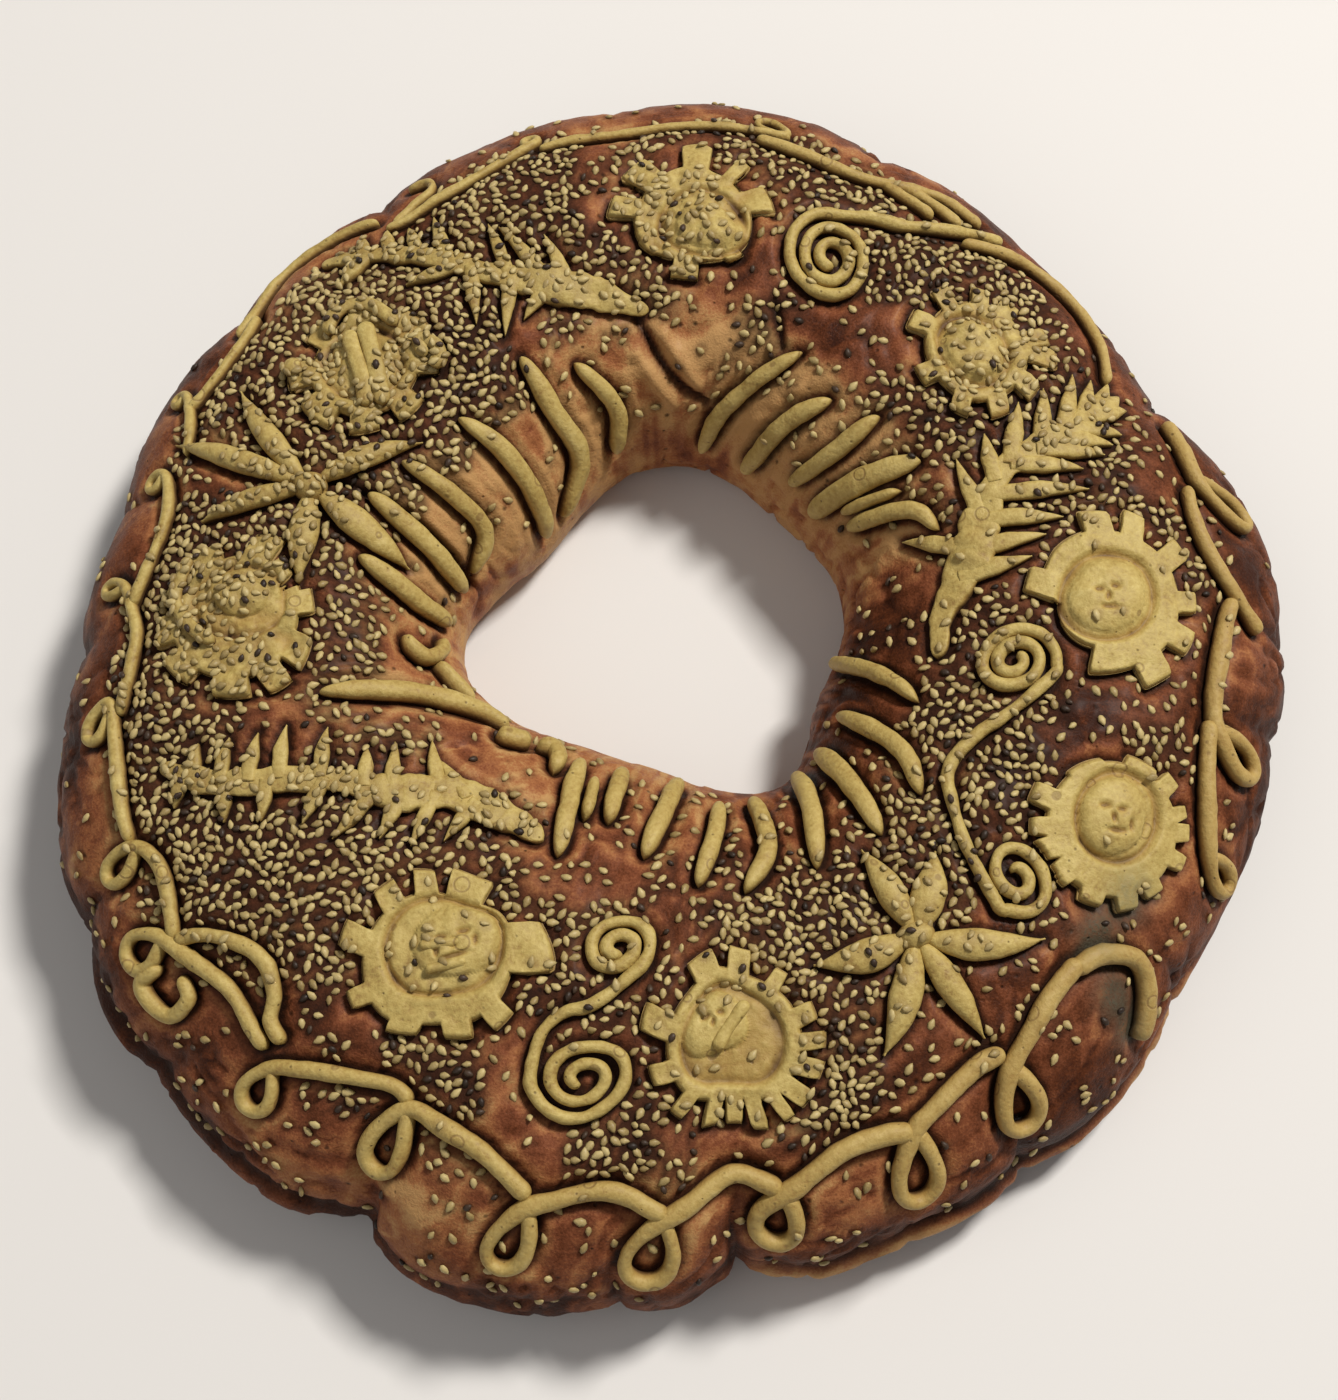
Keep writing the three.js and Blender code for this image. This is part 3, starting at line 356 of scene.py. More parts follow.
def reckoned(tree, operation, *values):
    """One step of arithmetic on values or outputs."""
    return shader_node(tree, "ShaderNodeMath", dict(enumerate(values)), operation=operation).outputs[0]


def summed(tree, start, *parts):
    """A start plus some values or outputs, each given with its weight."""
    for value, weight in parts:
        start = reckoned(tree, "MULTIPLY_ADD", value, weight, start)
    return start


def oven_mottle():
    """Node group for everything baked: browning in patches of two sizes, sparse dark pores, and the thin
    round prints that seeds leave. Its sizes are in millimetres."""
    group = bpy.data.node_groups.new("Oven mottle", "ShaderNodeTree")
    sizes = ("Patch Size", "Grain Size", "Pore Size", "Print Size")
    for name, value in zip((*sizes, "Pore Share", "Print Share"), (10.0, 1.5, 3.0, 8.0, 0.4, 0.4)):
        socket = group.interface.new_socket(name, in_out="INPUT", socket_type="NodeSocketFloat")
        socket.default_value = value
    for name in ("Patches", "Grain", "Pores", "Prints"):
        group.interface.new_socket(name, in_out="OUTPUT", socket_type="NodeSocketFloat")
    given = group.nodes.new("NodeGroupInput").outputs
    shown = group.nodes.new("NodeGroupOutput")
    place = group.nodes.new("ShaderNodeTexCoord").outputs["Object"]
    scale = {name: reckoned(group, "DIVIDE", 1000.0, given[name]) for name in sizes}
    for name, size, detail in (("Patches", "Patch Size", 4.0), ("Grain", "Grain Size", 3.0)):
        inputs = {"Vector": place, "Scale": scale[size], "Detail": detail, "Roughness": 0.62}
        noise = shader_node(group, "ShaderNodeTexNoise", inputs)
        connect(group, shown, {name: noise.outputs["Fac"]})
    for name, size, part in (("Pores", "Pore Size", "Pore Share"), ("Prints", "Print Size", "Print Share")):
        inputs = {"Vector": place, "Scale": scale[size], "Randomness": 1.0}
        cells = shader_node(group, "ShaderNodeTexVoronoi", inputs).outputs
        drawn = shader_node(group, "ShaderNodeSeparateColor", {"Color": cells["Color"]}).outputs
        chosen = reckoned(group, "LESS_THAN", drawn[0], given[part])
        away = cells["Distance"]
        reach = summed(group, 0.1, (drawn[1], 0.16))
        if name == "Prints":
            away = reckoned(group, "ABSOLUTE", reckoned(group, "SUBTRACT", away, reach))
            reach = 0.05
        mark = eased(group, away, reach, 0.01)
        connect(group, shown, {name: reckoned(group, "MULTIPLY", mark, chosen)})
    return group


def mottle_in(tree, **sizes):
    """The oven mottle placed in a material with its own sizes."""
    inputs = {name.replace("_", " ").title(): value for name, value in sizes.items()}
    return shader_node(tree, "ShaderNodeGroup", inputs, node_tree=OVEN_MOTTLE).outputs


def baked_material(name):
    """A new material, its node tree and its shader."""
    material = bpy.data.materials.new(name)
    material.use_nodes = True
    tree = material.node_tree
    return material, tree, tree.nodes["Principled BSDF"]


def bumped(tree, height, strength, distance):
    """Normals bumped by a height, with the distance in millimetres."""
    inputs = {"Height": height, "Strength": strength, "Distance": distance * MM}
    return shader_node(tree, "ShaderNodeBump", inputs).outputs["Normal"]


def attribute_of(tree, name):
    """A value that the mesh carries at its points."""
    return shader_node(tree, "ShaderNodeAttribute", {}, attribute_name=name).outputs["Fac"]


def eased(tree, value, low, high):
    """A value carried by a smooth step from 0 at low to 1 at high."""
    inputs = {"Value": value, "From Min": low, "From Max": high, "To Min": 0.0, "To Max": 1.0}
    made = shader_node(tree, "ShaderNodeMapRange", inputs, interpolation_type="SMOOTHSTEP")
    return made.outputs["Result"]


def pale_dough():
    """Straw-yellow dough, dry rather than glazed: browner on toasted pieces, and brown down the flanks,
    partly toasting and partly painted shade, then near black at the foot and in the rosettes' grooves and
    dents, which is painted shade. Darker round seeds, also painted shade. Mottled, with pores, and with the
    round prints that fallen seeds leave."""
    material, tree, shader = baked_material("Pale dough")
    mottle = mottle_in(tree, patch_size=11, grain_size=1.3, pore_size=2.6, pore_share=0.42)
    straw = tone_ramp(
        tree,
        summed(tree, 0.0, (mottle["Patches"], 0.5), (mottle["Grain"], 0.5)),
        (0.3, 0.26, 0.155, 0.043),
        (0.44, 0.41, 0.295, 0.085),
        (0.58, 0.51, 0.39, 0.127),
        (0.76, 0.63, 0.51, 0.205),
    )
    flank_and_shade = attribute_of(tree, "flank_and_shade")
    straw = tinted(
        tree,
        straw,
        (attribute_of(tree, "toast"), 0.55, (0.36, 0.2, 0.06)),
        # Brown down the flanks: partly toasting, partly painted shade.
        (eased(tree, flank_and_shade, 0.2, 0.65), 0.5, (0.3, 0.155, 0.035)),
        # Painted shade: near black at the foot, and in the rosettes' grooves and dents.
        (eased(tree, flank_and_shade, 0.55, 1.0), 0.9, (0.07, 0.026, 0.009)),
        # Painted shade round seeds.
        (attribute_of(tree, "halo"), 0.6, (0.13, 0.062, 0.02)),
        (attribute_of(tree, "stain"), mottle["Grain"], (0.11, 0.105, 0.06)),
        (mottle["Prints"], 0.5, (0.16, 0.08, 0.03)),
        (mottle["Pores"], 0.7, (0.07, 0.035, 0.013)),
    )
    rough = summed(tree, 0.42, (mottle["Grain"], 0.3))
    height = summed(tree, mottle["Grain"], (mottle["Pores"], -0.7), (mottle["Prints"], -0.3))
    finish = {"Base Color": straw, "Roughness": rough, "Specular IOR Level": 0.32}
    connect(tree, shader, {**finish, "Normal": bumped(tree, height, 0.6, 0.5)})
    return material


def carry(mesh, **values):
    """Gives a mesh named values at its points."""
    for name, value in values.items():
        mesh.attributes.new(name, "FLOAT", "POINT").data.foreach_set("value", value.astype(np.float32))


def mesh_piece(name, points, quads, triangles, values, material, slot, replaced=()):
    """One piece of the loaf from a mesh's arrays, with named values at its points, riding on the loaf."""
    mesh = bpy.data.meshes.new(name)
    mesh.vertices.add(len(points))
    mesh.vertices.foreach_set("co", (points * MM).astype(np.float32).ravel())
    corners = np.concatenate([quads.ravel(), triangles.ravel()]).astype(np.int32)
    mesh.loops.add(len(corners))
    mesh.loops.foreach_set("vertex_index", corners)
    first = np.concatenate([np.arange(len(quads)) * 4, 4 * len(quads) + np.arange(len(triangles)) * 3])
    mesh.polygons.add(len(first))
    mesh.polygons.foreach_set("loop_start", first.astype(np.int32))
    mesh.polygons.foreach_set("use_smooth", np.ones(len(first), bool))
    carry(mesh, **values)
    mesh.materials.append(material)
    mesh.update(calc_edges=True)
    piece = bpy.data.objects.new(name, mesh)
    bpy.context.scene.collection.objects.link(piece)
    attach(piece, "root")
    if replaced:
        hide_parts(*replaced)
    return piece


def renumbered(points, faces):
    """The faces of several meshes as one array, for when their points follow each other."""
    starts = np.cumsum([0] + [len(own) for own in points[:-1]])
    return np.concatenate([own + start for own, start in zip(faces, starts)])


def dough_piece(node, skins, toast, seeding):
    """One ornament from closed skins, in place of its solid. Toast is how brown it is, and seeding how
    readily seeds lie on it."""
    points, quads, triangles, flank_and_shade = zip(*skins)
    quads, triangles = renumbered(points, quads), renumbered(points, triangles)
    points = np.concatenate(points)
    values = {"flank_and_shade": np.concatenate(flank_and_shade), "toast": np.full(len(points), toast)}
    piece = mesh_piece(node + "_dough", points, quads, triangles, values, PALE_DOUGH, "pale_dough", [node])
    pieces_laid.append((piece, points, halved(quads, triangles), seeding))


OVEN_MOTTLE = oven_mottle()
PALE_DOUGH = pale_dough()
chance = np.random.default_rng(21)

for number, strands in enumerate(ROPES, 1):
    routes = [rope_route(*values) for values in strands]
    routes += [(*smooth_route(places), 1.0) for places in ROPE_EXTRAS.get(number, ())]
    skins = []
    for angle, across, loop_from in routes:
        angle, across, share, length = even_route(angle, across)
        uneven = 1 + ROPE_WAVE * np.sin(2 * np.pi * (share * length / ROPE_WAVE_LENGTH + chance.random()))
        thinner = LOOP_THINNING * smooth_step(share, loop_from, loop_from + LOOP_THINNED_OVER)
        size = round_ends(share, length, ROPE_BLUNT) * uneven * (1 - thinner)
        middle = angle.mean()
        half_width = ROPE_HALF_WIDTH - ROPE_THICKENING * sin_of(middle)
        half_width += ROPE_RIGHT_THICKENING * cos_of(middle)
        half_width *= chance.uniform(*ROPE_WIDTHS)
        skins.append(strand(angle, across, half_width, ROPE_HEIGHT_SHARE * half_width, size))
    toast = ROPE_TOAST + ROPE_TOAST_SWING * cos_of(strands[0][0] - ROPE_BROWNEST)
    dough_piece(f"rim_rope_{number:02d}", skins, toast, seeding=0.04)


# Fingers: tapered rolls of the same dough that hang over the edge of the hole, some bent, and at the left
# edge a strip and a few lumps that have run together. Each is a half width and its places, high end first.
FINGER_HEIGHT = 4.2
FINGERS = (
    (2.35, (67, -0.29), (74, -0.49), (81, -0.72), (84, -0.94)),
    (2.8, (58, -0.37), (65, -0.57), (72, -0.92)),
    (2.6, (48, -0.29), (52, -0.54), (58, -0.77)),
    (3.5, (36, -0.28), (42, -0.51), (49, -0.82)),
    (2.5, (22, -0.35), (29, -0.41), (37, -0.7)),
    (2.2, (342, -0.36), (348, -0.51), (0, -0.92)),
    (2.6, (323, -0.22), (330, -0.36), (336, -0.69)),
    (2.8, (312, -0.25), (318, -0.51), (323, -0.75)),
    (2.7, (298, -0.26), (306, -0.51), (313, -0.8)),
    (2.5, (283, -0.22), (291, -0.38), (294, -0.68)),
    (2.4, (274, -0.23), (278.5, -0.4), (283, -0.62)),
    (2.6, (262, -0.33), (265.5, -0.52), (270, -0.76)),
    (2.5, (251, -0.43), (249, -0.55), (247, -0.7)),
    (2.6, (244, -0.25), (239, -0.43), (232, -0.65)),
    (2.4, (110, -0.39), (104, -0.65), (106, -0.86)),
    (2.8, (119, -0.24), (118, -0.47), (116, -0.73), (126, -0.92)),
    (2.6, (135, -0.25), (132, -0.47), (132, -0.72), (134, -0.91)),
    (2.4, (148, -0.22), (147, -0.43), (148, -0.64), (157, -0.76)),
    (2.6, (156, -0.2), (159.5, -0.55), (162, -0.79)),
    (2.6, (167, -0.27), (171, -0.56), (172, -0.78)),
)
FINGER_EXTRAS = {
    4: (1.7, (34, -0.41), (37, -0.53), (41, -0.67)),
    13: (1.7, (245, -0.4), (243, -0.48), (241, -0.56)),
}
FORKED_FINGER = (
    (2.7, (192, -0.13), (193, -0.3), (195, -0.47), (200, -0.63), (207, -0.67)),
    (2.1, (180, -0.5), (183, -0.52), (184.5, -0.58), (181.5, -0.68), (177, -0.73)),
    (1.9, (185, -0.63), (190, -0.66), (197, -0.66)),
    (2.9, (209.5, -0.56), (213, -0.59), (216, -0.62)),
    (2.4, (218, -0.62), (222, -0.64), (226, -0.6), (229, -0.53)),
)


def finger(half_width, *places):
    """A strand along a smooth route, narrowed to both tips by a power of the distance from its middle."""
    angle, across, share, _ = even_route(*smooth_route(places))
    size = np.maximum((1 - np.abs(2 * share - 1) ** 4.5) ** 0.55, 0.1)
    return strand(angle, across, half_width, FINGER_HEIGHT, size, square=0.85)


for number, values in enumerate(FINGERS, 1):
    skins = [finger(*values)]
    if number in FINGER_EXTRAS:
        skins.append(finger(*FINGER_EXTRAS[number]))
    dough_piece(f"hole_finger_{number:02d}", skins, toast=0.25, seeding=0.05)
skins = [finger(*values) for values in FORKED_FINGER]
dough_piece("forked_finger", skins, toast=0.3, seeding=0.06)


# Stars: six spindles of dough rolled to a point at both ends and laid round a small knob that hides their
# inner tips. Each is its middle, its knob's half sizes, and each petal's half width and tip.
STARS = (
    (
        (305, 0.07),
        (5.0, 3.9),
        (
            (3.8, 307, -0.24), (4.6, 316, -0.08), (4.1, 317.5, 0.28), (3.8, 305, 0.38), (4.3, 294, 0.28),
            (4.4, 290, 0.03),
        ),
    ),
    (
        (159, -0.01),
        (4.4, 4.4),
        (
            (3.4, 150, 0.36), (3.4, 143, -0.22), (4.2, 165.5, -0.48), (4.2, 174, -0.09), (3.0, 167, 0.29),
            (3.4, 158, 0.5),
        ),
    ),
)
PETAL_HEIGHT = 4.6
KNOB_HEIGHT = 5.4


def petal(middle, half_width, tip_angle, tip_across):
    """A strand from the star's middle to a tip, widest just before its half and drawn to a long point."""
    angle, across, share, _ = even_route(*smooth_route((middle, (tip_angle, tip_across))))
    size = np.maximum(np.sin(np.pi * share**0.9) ** 1.1, 0.07)
    return strand(angle, across, half_width, PETAL_HEIGHT, size)


def knob(place, halves, height):
    """Half an ellipsoid set on the crust, its rows from the top down."""
    turn = np.linspace(0, 2 * np.pi, 32, endpoint=False)
    drop = np.append(np.linspace(0.05, np.pi / 2, 12), np.pi / 2)[:, None]
    pull = np.append(np.ones(12), 0.8)[:, None]
    along = halves[0] * pull * np.sin(drop) * np.cos(turn)
    outward = halves[1] * pull * np.sin(drop) * np.sin(turn)
    rise = height * np.cos(drop) + 0 * turn
    rise[-1] = -STRAND_SINK
    there = shifted(*place, along, outward)
    spot = crust_point(*there)
    rows = spot + crust_normal(*there) * (rise + 0.4 * lumps(spot, 3.0, 71))[..., None]
    return skin_of(rows, 1 - np.clip(rise / height, 0, 1))


for number, (middle, halves, petals) in enumerate(STARS, 1):
    skins = [petal(middle, *values) for values in petals] + [knob(middle, halves, KNOB_HEIGHT)]
    dough_piece(f"star_{number:02d}", skins, toast=0.18, seeding=0.1 * number)


# Spirals: a thin rope wound into a flat coil, with a tail, or in an S with a coil at both ends. A coil is
# its middle, its half sizes along the ring and outward, its turns, and the way the rope leaves it.
SPIRALS = (
    (((68.5, 0.065), 12.8, 14.6, 2.6, 10), ((66, 0.265), (62, 0.3), (57, 0.42), (52.5, 0.56)), None),
    (
        ((352.5, -0.09), 10.2, 10.4, 2.3, -20),
        ((342, -0.08), (338, -0.13), (332, -0.17), (327, -0.15), (320.5, -0.03)),
        ((321, 0.135), 8.8, 10.4, 1.75, -95),
    ),
    (
        ((260, -0.06), 9.0, 8.6, 2.05, 30),
        ((258, 0.07), (255, 0.09), (252.7, 0.14)),
        ((258.8, 0.215), 13.0, 11.0, 2.2, -80),
    ),
)
COIL_HALF_WIDTH = 1.65
COIL_HEIGHT = 3.0
COIL_BLUNT = 2.0
COIL_START_SHARE = 0.14


def coil(middle, along, outward, turns, leaving):
    """Places along a coil whose half sizes grow evenly with its turn, from the middle outwards."""
    share = np.linspace(0, 1, int(turns * 16))
    far = COIL_START_SHARE + (1 - COIL_START_SHARE) * share
    turn = np.radians(leaving + 360 * turns * (1 - share))
    return list(zip(*shifted(*middle, along * far * np.sin(turn), outward * far * np.cos(turn))))


for number, (first, tail, second) in enumerate(SPIRALS, 1):
    places = coil(*first) + list(tail) + (coil(*second)[::-1] if second else [])
    angle, across, share, length = even_route(*smooth_route(places, 8))
    skin = strand(angle, across, COIL_HALF_WIDTH, COIL_HEIGHT, round_ends(share, length, COIL_BLUNT))
    dough_piece(f"spiral_{number:02d}", [skin], toast=0.1, seeding=0.06)


# Fronds: a tongue of dough snipped along both sides into pointed leaflets and drawn out along the loaf.
# Each is its stem's places and half widths at even steps, and each leaflet's share of it and its tip.
STEM_HEIGHT = 2.6
STEM_BLUNT = 2.5
LEAFLET_HALF_WIDTHS = (2.4, 2.0, 2.0)
LEAFLET_HEIGHT = 2.4
FROND_SEEDING = (0.22, 0.6, 0.5)
FRONDS = (
    (
        (
            (353, -0.34), (4, -0.35), (12, -0.29), (18, -0.22), (22, -0.15), (26, -0.05), (27, 0.1),
            (28, 0.25), (28.5, 0.36),
        ),
        (2.4, 3.0, 4.4, 5.6, 4.4, 3.6, 3.8, 3.8, 2.6),
        (
            (0.38, 24, -0.5), (0.45, 32, -0.16), (0.56, 33, -0.02), (0.62, 34.5, 0.13), (0.72, 34.5, 0.23),
            (0.8, 34.5, 0.36), (0.88, 33, 0.42), (0.94, 32, 0.49), (0.99, 30, 0.5), (0.95, 28, 0.48),
            (0.3, 11, -0.07), (0.38, 14, -0.01), (0.46, 16, 0.05), (0.53, 19, 0.15), (0.62, 22, 0.17),
            (0.7, 23, 0.26), (0.77, 24, 0.31), (0.84, 25, 0.37),
        ),
    ),
    (
        (
            (239.5, -0.27), (232, -0.29), (224, -0.28), (217, -0.22), (213, -0.15), (208, -0.06),
            (204, 0.04), (200, 0.22), (196, 0.33),
        ),
        (2.4, 4.3, 5.6, 4.6, 3.4, 3.4, 3.6, 3.6, 2.0),
        (
            (0.26, 211, -0.32), (0.32, 206, -0.35), (0.42, 204, -0.25), (0.48, 203, -0.17),
            (0.57, 198, -0.11), (0.65, 196, 0), (0.72, 196, 0.07), (0.79, 195.5, 0.14), (0.87, 195, 0.22),
            (0.24, 225, -0.13), (0.33, 222, -0.06), (0.4, 218, -0.02), (0.45, 214, 0.05), (0.56, 210, 0.08),
            (0.68, 207, 0.16), (0.78, 205, 0.24), (0.9, 201, 0.33),
        ),
    ),
    (
        (
            (95, -0.3), (101, -0.23), (108, -0.11), (114, 0.01), (119, 0.13), (123, 0.27), (128, 0.4),
            (132, 0.52),
        ),
        (1.6, 3.8, 5.4, 4.2, 2.8, 2.8, 2.8, 2.4, 1.4),
        (
            (0.27, 108, 0.09), (0.33, 113, 0.19), (0.43, 114, 0.22), (0.58, 119, 0.38), (0.66, 122, 0.42),
            (0.74, 124, 0.47), (0.82, 126.5, 0.5),
            (0.33, 115.5, -0.14), (0.42, 119.5, -0.14), (0.52, 122.5, -0.03), (0.56, 127, 0.21),
            (0.8, 133, 0.37),
        ),
    ),
)


def leaflet(root, tip, half_width):
    """A flat pointed strand from the stem to its tip, widest near the stem."""
    angle, across, share, _ = even_route(*smooth_route((root, tip)))
    size = np.clip(1.75 * (1 - share) ** 0.8, 0.08, 1)
    return strand(angle, across, half_width, LEAFLET_HEIGHT, size, square=0.7)


for number, (stem, widths, leaflets) in enumerate(FRONDS, 1):
    angle, across, share, length = even_route(*smooth_route(stem))
    width = np.interp(share, np.linspace(0, 1, len(widths)), widths) * round_ends(share, length, STEM_BLUNT)
    skins = [strand(angle, across, 1.0, STEM_HEIGHT / max(widths) ** 0.5, width, square=0.6)]
    for part, tip_angle, tip_across in leaflets:
        at = int(part * (len(angle) - 1))
        tip = (tip_angle, tip_across)
        skins.append(leaflet((angle[at], across[at]), tip, LEAFLET_HALF_WIDTHS[number - 1]))
    dough_piece(f"frond_{number:02d}", skins, toast=0.15, seeding=FROND_SEEDING[number - 1])


# Rosettes: discs of dough, notched round the edge like wheels and squeezed in between the other ornaments,
# with a ring pressed in and a button in it. Each is a place, a radius, the teeth's share of it, the middle
# and half sizes of ring and button, the button's height, its wear and its share of seeds.
PLATE_HEIGHT = 2.9
PLATE_EDGE = 1.3
PLATE_CLEARANCE = 0.9
SECTOR, FARTHEST_GAP = 8.0, 14.0
RING_DEPTH = 2.3
RING_HALF_WIDTH = 0.95
CUP_DEPTHS = {3: 0.8, 4: 0.9, 5: 1.5, 6: 0.6}
PLAIN_CUP_DEPTH = 0.5
ROSETTES = (
    ((88, 0.05), 23.0, 0.28, (-3, -3), (12, 11), (-3.8, -3.9), (8.5, 7.5), 2.4, 0.9, 0.6),
    ((44, 0.13), 21.5, 0.3, (0.5, -1), (11, 9.6), (0.5, -1), (9.3, 7.8), 3.2, 0.95, 0.55),
    ((2.5, 0.13), 28.0, 0.27, (1.5, 0), (12, 12.6), (1.5, -0.4), (10.2, 10.4), 3.2, 0.2, 0.035),
    ((333.2, 0.305), 23.2, 0.22, (3.5, -1.1), (12, 10.8), (2.8, -2.5), (10.4, 8.8), 3.4, 0.2, 0.035),
    ((277, 0.17), 24.0, 0.31, (-0.5, 0), (12.3, 12), (-4.3, -3.3), (8.5, 7.5), 3.0, 0.25, 0.07),
    ((236.5, 0.115), 28.5, 0.35, (-0.6, -3.6), (14.2, 13.2), (1.6, -6.2), (10.4, 9.8), 2.8, 0.2, 0.03),
    ((179.5, 0.1), 23.5, 0.26, (-3.9, -0.4), (9.6, 12.6), (-4.8, -1.2), (5.2, 7), 2.8, 1.0, 0.7),
    ((139, 0.1), 22.0, 0.3, (0, 1), (11, 11), (0.5, -1), (5.5, 10), 1.2, 1.1, 0.8),
)
# The teeth of those that have kept their edges, clockwise as seen from above: where each stands in
# degrees from the way along the ring, its half width in degrees and how far it reaches. The other two are
# so worn that only their count is given. The third has lost a side: where, how wide and how far in.
TEETH = {
    1: (
        (13, 8, 24.5), (46, 10, 26), (91, 10, 25.5), (125, 4, 25), (156, 10, 24), (225, 9, 18),
        (275, 10, 23), (320, 12, 17),
    ),
    2: (
        (338, 9, 20.5), (13, 7, 21), (48, 7, 20), (77, 9, 19.5), (114, 7, 23), (132, 7, 24.5),
        (165, 8, 21), (200, 9, 20), (240, 9, 20), (285, 9, 20),
    ),
    3: (
        (358, 9, 26), (23, 6, 28), (54, 7, 27.5), (88, 6.5, 26), (115, 7.5, 26.5), (143, 8, 28),
        (180, 7, 18), (287, 8, 25),
    ),
    4: (
        (357, 12, 20.5), (22, 6, 22.5), (46, 4.5, 22), (61, 6, 22.5), (83, 5.5, 22.8), (114, 7, 21.2),
        (139, 8, 22), (171, 9, 20.8), (202, 9, 20.5), (224, 8, 21), (243, 6, 21.7), (267, 7, 23.2),
        (309, 15, 19),
    ),
    5: (
        (254, 9, 22), (281, 6.5, 23.5), (311, 5, 21), (347, 7, 21), (8, 5.5, 22.5), (27, 6, 23),
        (46, 6, 23.5), (61, 4, 23.5), (80, 5, 24), (96, 5.5, 23), (113, 5, 22.5), (139, 5, 21.5),
        (167, 6.5, 21.5), (202, 9, 23),
    ),
    6: (
        (200, 8, 24), (229, 7.5, 25), (259, 12, 27), (320, 16, 28.5), (10, 8, 23.3), (44, 11, 22),
        (84, 10, 21.5), (124, 6, 23.5), (163, 8, 25.5),
    ),
}
WORN_TEETH = {7: 10, 8: 8}
LOST_SIDES = {3: (232, 44, 13)}
# Dents in the buttons, like simple faces: millimetres to the right and away from the button's middle, as
# seen from the near side, and half sizes.
DENT_DEPTH = 1.1
DENTS = {
    3: ((-2.6, 1.2, 1.5, 0.8), (1.4, 2.2, 1.3, 0.8), (-0.2, -0.6, 0.7, 1.3), (0.6, -3.6, 2.4, 0.7)),
    4: (
        (-2.8, 2.6, 1.5, 0.8), (1.4, 1.8, 1.4, 0.8), (-0.8, -0.4, 0.7, 1.4), (0.2, -3.6, 2.6, 0.8),
        (4, -2, 0.7, 1.6),
    ),
    5: ((-2.4, 1.8, 1.3, 0.8), (1.4, 2.2, 1.2, 0.8), (-0.6, 0.2, 0.6, 1.1)),
    6: (
        (-3.4, 1.8, 1.5, 0.9), (1.6, 2.4, 1.5, 0.9), (-0.8, -0.2, 0.8, 1.5), (-0.8, -4, 3, 0.8),
        (-4.6, -1.8, 0.7, 1.5), (4, -0.8, 0.7, 1.7),
    ),
}
ROSETTE_COLUMNS = 300
# Bars and hooks laid on the discs: a half width and the places along each.
BAR_HEIGHT = 2.4
BAR_LIFT = PLATE_HEIGHT - 0.2
ROSETTE_BARS = {
    5: ((1.7, (274.5, 0.2), (279.5, 0.09)),),
    6: ((1.3, (233.5, 0.1), (238, 0.06)), (1.3, (236, 0.14), (240, 0.1))),
    7: ((1.8, (172.2, 0.26), (174.8, 0.27), (177.2, 0.28), (179.2, 0.26), (181.5, 0.21), (183.2, 0.15)),),
    8: (
        (2.0, (138.8, 0.25), (136.5, 0.27), (134.5, 0.26), (132.6, 0.21), (132, 0.15), (132, 0.11)),
        (2.5, (134.8, 0.18), (136.9, 0.11), (139.6, 0.04), (142.6, -0.03)),
        (2.3, (137, 0.2), (138.6, 0.15), (140.8, 0.08), (144.2, 0)),
        (2.0, (132.5, -0.02), (131.2, 0.03), (129.9, -0.02), (131.1, -0.07), (132.3, -0.04)),
        (2.8, (144, 0.27), (146, 0.23)),
    ),
}


def by_sector(points, others, measure, start):
    """A measure of the squared distances from each point to the others near it, taken sector by sector
    round the ring. The start stays where none is near."""
    found = np.full(len(points), start)
    around = (np.arctan2(spots[:, 1], spots[:, 0]) for spots in (points, others))
    own, theirs = ((np.degrees(turn) % 360 // SECTOR).astype(int) for turn in around)
    sectors = int(360 / SECTOR)
    for number in range(sectors):
        here = np.flatnonzero(own == number)
        close = others[np.isin(theirs, [(number - 1) % sectors, number, (number + 1) % sectors])]
        if len(here) and len(close):
            squares = (points[here] ** 2).sum(1)[:, None] + (close**2).sum(1) - 2 * points[here] @ close.T
            found[here] = measure(squares)
    return found


def nearest_gap(points, others):
    """The distance from each point to the nearest of some others, up to the farthest that counts."""
    nearest = by_sector(points, others, lambda squares: squares.min(axis=1), FARTHEST_GAP**2)
    return np.sqrt(nearest.clip(0, FARTHEST_GAP**2))


def toothed(turn, radius, depth, number):
    """How far out a wheel's edge reaches at each angle: square teeth on a disc, their corners softened,
    with their own places or with seeded uneven places, widths and lengths. A lost side is cut back."""
    disc = radius * (1 - depth)
    if number in TEETH:
        middle, half, reach = np.array(TEETH[number]).T
    else:
        teeth = WORN_TEETH[number]
        luck = np.random.default_rng(40 + number)
        middle = (np.arange(teeth) + luck.uniform(-0.16, 0.16, teeth)) * 360 / teeth + 57 * luck.random()
        half = 180 / teeth * luck.uniform(0.52, 0.72, teeth)
        reach = disc + radius * depth * luck.uniform(0.75, 1.0, teeth)
    apart = np.abs(degrees_apart(np.degrees(turn)[:, None], middle))
    edge = disc + (smooth_step(half - apart, -2.6, 0.5) * (reach - disc)).max(axis=1)
    if number in LOST_SIDES:
        lost, wide, least = LOST_SIDES[number]
        cut = smooth_step(wide - np.abs(degrees_apart(np.degrees(turn), lost)), -3, 6)
        edge -= cut * (edge - least)
    return edge


def among_neighbours(values, reach, blend):
    """A blend, such as the least, of each column's value and its neighbours' round the wheel."""
    around = np.pad(values, reach, mode="wrap")
    return blend([around[i : i + len(values)] for i in range(2 * reach + 1)], axis=0)


